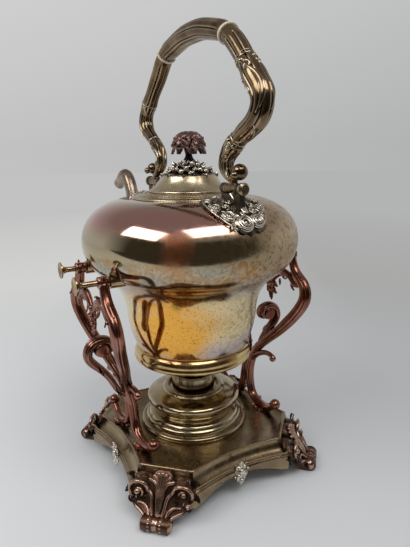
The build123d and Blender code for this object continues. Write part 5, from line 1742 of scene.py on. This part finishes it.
@dataclass
class SpiritLamp:
    """The lamp, its burner and the well that it stands in. Sizes are in millimetres."""

    plate: float = 37.3

    def turned(
        self, name: str, replaces: str, body: str, corner: float, profile: Sequence[Point2], closed: bool = True
    ) -> None:
        """Turns one piece of the lamp from its profile."""
        slot = "stand_silver" if body == "stand" else "lamp_silver"
        Turning(
            name, replaces, "lamp", body, slot, corner, profile, 4, closed=closed, crease=45.0, strength=3.0
        ).build()

    def build(self) -> None:
        """Builds the well, the bowl, its cover and the burner. The well's heights are over the plate."""
        well = (
            (34.5, 11.5), (34.5, 5.0), (0.0, 5.0), (0.0, 3.5), (40.0, 3.5), (46.0, 0.0), (50.6, 0.0), (50.6, 1.8),
            (49.6, 3.4), (47.8, 3.7), (47.2, 3.3), (46.4, 3.4), (46.2, 5.2), (45.6, 7.2), (44.2, 8.4), (43.6, 8.3),
            (43.2, 9.4), (41.8, 11.2), (40.2, 11.5),
        )
        well = [(radius, self.plate + height) for radius, height in well]
        self.turned("well_turned", "lamp_well", "stand", 0.7, well)
        bowl = (
            (0.0, 42.3), (34.0, 42.3), (34.0, 48.9), (38.5, 48.9), (38.7, 51.5), (39.6, 54.5), (41.2, 57.2),
            (43.4, 59.4), (44.0, 61.6), (43.7, 63.6), (42.6, 65.0), (40.0, 66.4), (35.0, 67.8), (31.0, 68.4),
            (29.2, 68.8), (28.4, 70.2), (27.0, 70.9), (25.9, 70.9), (25.8, 67.5), (38.0, 64.6), (42.0, 61.8),
            (37.4, 53.5), (37.2, 50.1), (32.8, 50.1), (32.8, 43.5), (0.0, 43.5),
        )
        self.turned("bowl_turned", "lamp_bowl", "lamp", 1.2, bowl, False)
        cover = (
            (27.3, 70.9), (27.3, 71.8), (24.4, 71.8), (24.4, 67.7), (18.0, 67.7), (18.0, 66.5), (25.7, 66.5),
            (25.7, 70.9),
        )
        self.turned("cover_turned", "lamp_cover", "lamp", 0.4, cover)
        tube = (
            (8.0, 82.8), (8.8, 82.8), (8.8, 70.2), (19.2, 70.2), (19.2, 69.0), (22.1, 69.0), (22.1, 67.8),
            (17.7, 67.8), (17.7, 65.5), (16.5, 65.5), (16.5, 67.8), (8.8, 67.8), (8.8, 59.8), (8.0, 59.8),
        )
        self.turned("tube_turned", "burner_tube", "burner_head", 0.3, tube)
        collar = ((20.5, 69.0), (20.5, 83.0), (21.0, 83.4), (21.0, 84.1), (20.3, 84.3), (19.3, 84.3), (19.3, 69.0))
        self.turned("collar_of_burner", "burner_collar", "burner_head", 0.3, collar)
        dress(("wick",), "wick")


# Studio


@dataclass
class Studio:
    """The floor, the soft lights and the camera. The camera's numbers were fitted to the photograph."""

    focal: float = 480.0
    image: tuple[int, int] = (410, 547)
    place: Point3 = (0.3728, -0.2058, 0.2850)
    yaw: float = 59.39
    pitch: float = 13.90
    roll: float = -0.71
    # The backdrop and the floor darken towards the right: painted shade, for the light that comes from the left.
    backdrop_left: Color = (0.53, 0.535, 0.53)
    shaded_backdrop_right: Color = (0.445, 0.45, 0.45)
    right_way: Point3 = (0.51, 0.86, 0.0)
    room: Color = (0.05, 0.042, 0.03)
    room_way: Point3 = (0.875, -0.484, 0.0)
    table_edge: float = 0.44

    def camera(self) -> None:
        """Sets the camera at the photograph's viewing angle."""
        yaw, pitch, roll = (math.radians(v) for v in (self.yaw, self.pitch, self.roll))
        forward = Vector((-math.sin(yaw) * math.cos(pitch), math.cos(yaw) * math.cos(pitch), -math.sin(pitch)))
        level, _ = compass(yaw)
        upright = level.cross(forward)
        right = level * math.cos(roll) + upright * math.sin(roll)
        up = upright * math.cos(roll) - level * math.sin(roll)
        data = bpy.data.cameras.new("photo_camera")
        data.sensor_width = 36.0
        data.lens = self.focal / max(self.image) * data.sensor_width
        data.clip_start, data.clip_end = 0.01, 60
        camera = bpy.data.objects.new("photo_camera", data)
        turn = Matrix((right, up, -forward)).transposed().to_4x4()
        camera.matrix_world = Matrix.Translation(self.place) @ turn
        bpy.context.scene.collection.objects.link(camera)
        bpy.context.scene.camera = camera

    def lamp(self, name: str, azimuth: float, elevation: float, distance: float, size: Point2, power: float) -> None:
        """Hangs a softbox that looks at the kettle from a direction."""
        rise = math.radians(elevation)
        way = compass(math.radians(azimuth))[0] * math.cos(rise) + UP * math.sin(rise)
        data = bpy.data.lights.new(name, "AREA")
        data.shape = "RECTANGLE"
        data.size, data.size_y = size
        data.energy = power
        lamp = bpy.data.objects.new(name, data)
        lamp.location = UP * 0.2 + way * distance
        lamp.rotation_mode = "QUATERNION"
        lamp.rotation_quaternion = way.to_track_quat("Z", "Y")
        bpy.context.scene.collection.objects.link(lamp)

    def floor(self) -> None:
        """Lays the pale floor, which shows the photo's tones far from the kettle and a dark room to mirrors."""
        shape = bmesh.new()
        bmesh.ops.create_circle(shape, segments=96, radius=8.0, cap_ends=True)
        mesh = bpy.data.meshes.new("floor")
        shape.to_mesh(mesh)
        shape.free()
        floor = bpy.data.objects.new("floor", mesh)
        bpy.context.scene.collection.objects.link(floor)
        material = bpy.data.materials.new("pale_floor")
        material.use_nodes = True
        graph = Graph(material.node_tree)
        # Painted shade: the floor's colour darkens towards the right, for the light that comes from the left.
        side = graph.ranged(graph.gauge("DOT_PRODUCT", graph.place, self.right_way), -0.30, 0.30)
        pale = graph.feed_named(
            graph.tree.nodes["Principled BSDF"],
            Base_Color=graph.mixed(side, (0.90, 0.91, 0.92), (0.70, 0.71, 0.72)),
            Roughness=0.6,
            Specular_IOR_Level=0.2,
        )
        path = graph.add("LightPath").outputs
        rays = graph.sum("MAXIMUM", path["Is Camera Ray"], path["Is Glossy Ray"])
        rays = graph.sum("MAXIMUM", rays, path["Is Transmission Ray"])
        away = graph.gauge("LENGTH", graph.place)
        # Painted shade: the far floor's tone darkens towards the right and holds the kettle's painted shadow there.
        shaded_table = graph.mixed(side, (0.64, 0.645, 0.63), (0.395, 0.395, 0.39))
        air = graph.mixed(side, self.backdrop_left, self.shaded_backdrop_right)
        shaded_table = graph.mixed(graph.ranged(away, 0.7, 2.2), shaded_table, air)
        plain = graph.add("Emission", shaded_table, 1.0).outputs[0]
        shown = graph.stacked(graph.times(graph.ranged(away, 0.20, 0.75), rays), pale, plain)
        ahead = graph.gauge("DOT_PRODUCT", graph.place, self.room_way)
        beyond = graph.ranged(ahead, self.table_edge - 0.03, self.table_edge + 0.03)
        dark = graph.add("Emission", self.room, 1.0).outputs[0]
        edged = graph.stacked(graph.times(beyond, path["Is Glossy Ray"]), shown, dark)
        graph.feed(graph.tree.nodes["Material Output"].inputs["Surface"], edged)
        mesh.materials.append(material)

    def world(self) -> None:
        """Gives a pale backdrop that metal sees too, with a dark room in front of it, and plain soft light."""
        world = bpy.data.worlds.new("studio")
        bpy.context.scene.world = world
        world.use_nodes = True
        graph = Graph(world.node_tree)
        graph.tree.nodes.clear()
        way = graph.add("TexCoord").outputs["Generated"]
        height = graph.add("SeparateXYZ", way).outputs["Z"]
        seen = graph.mixed(graph.ranged(height, 0.15, 0.62), (0.56, 0.57, 0.58), (0.27, 0.245, 0.23))
        room = graph.ranged(graph.gauge("DOT_PRODUCT", way, self.room_way), -0.15, 0.40)
        room = graph.times(room, graph.ranged(height, 0.50, 0.60, 1.0, 0.0))
        seen = graph.mixed(room, seen, self.room)
        # Painted shade: the backdrop that the camera sees darkens towards the right, for the light that comes from the
        # left.
        side = graph.ranged(graph.gauge("DOT_PRODUCT", way, self.right_way), -0.38, 0.38)
        air = graph.mixed(side, self.backdrop_left, self.shaded_backdrop_right)
        lifted = graph.ranged(height, 0.02, 0.26, 1.0, 1.17)
        shown, mirrored, soft = (
            graph.add("Background", color, strength).outputs[0]
            for color, strength in ((air, lifted), (seen, 1.0), ((0.8, 0.82, 0.85), 0.45))
        )
        path = graph.add("LightPath").outputs
        unseen = graph.stacked(path["Is Glossy Ray"], soft, mirrored)
        graph.add("OutputWorld", graph.stacked(path["Is Camera Ray"], unseen, shown))

    def build(self) -> None:
        """Builds the studio."""
        bpy.context.scene.view_settings.view_transform = "Standard"
        self.camera()
        self.floor()
        self.world()
        self.lamp("softbox_left", -88.0, 44.0, 1.3, (0.9, 0.5), 5.6)
        self.lamp("softbox_right", 0.0, 56.0, 1.3, (0.9, 0.55), 5.6)


def main() -> None:
    """Builds the kettle, its stand and the studio."""
    logging.basicConfig(level=logging.INFO, format="%(name)s %(message)s")
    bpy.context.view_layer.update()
    body = KettleBody()
    pieces = (
        Studio(), body, SwanSpout(), ShoulderSprays(body), SwingHandle(), Lid(), BasePlate(), CornerFeet(),
        ApronSprigs(), SideFrames(), SpiritLamp(),
    )
    for piece in pieces:
        piece.build()
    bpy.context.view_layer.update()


if __name__ == "__main__":
    main()
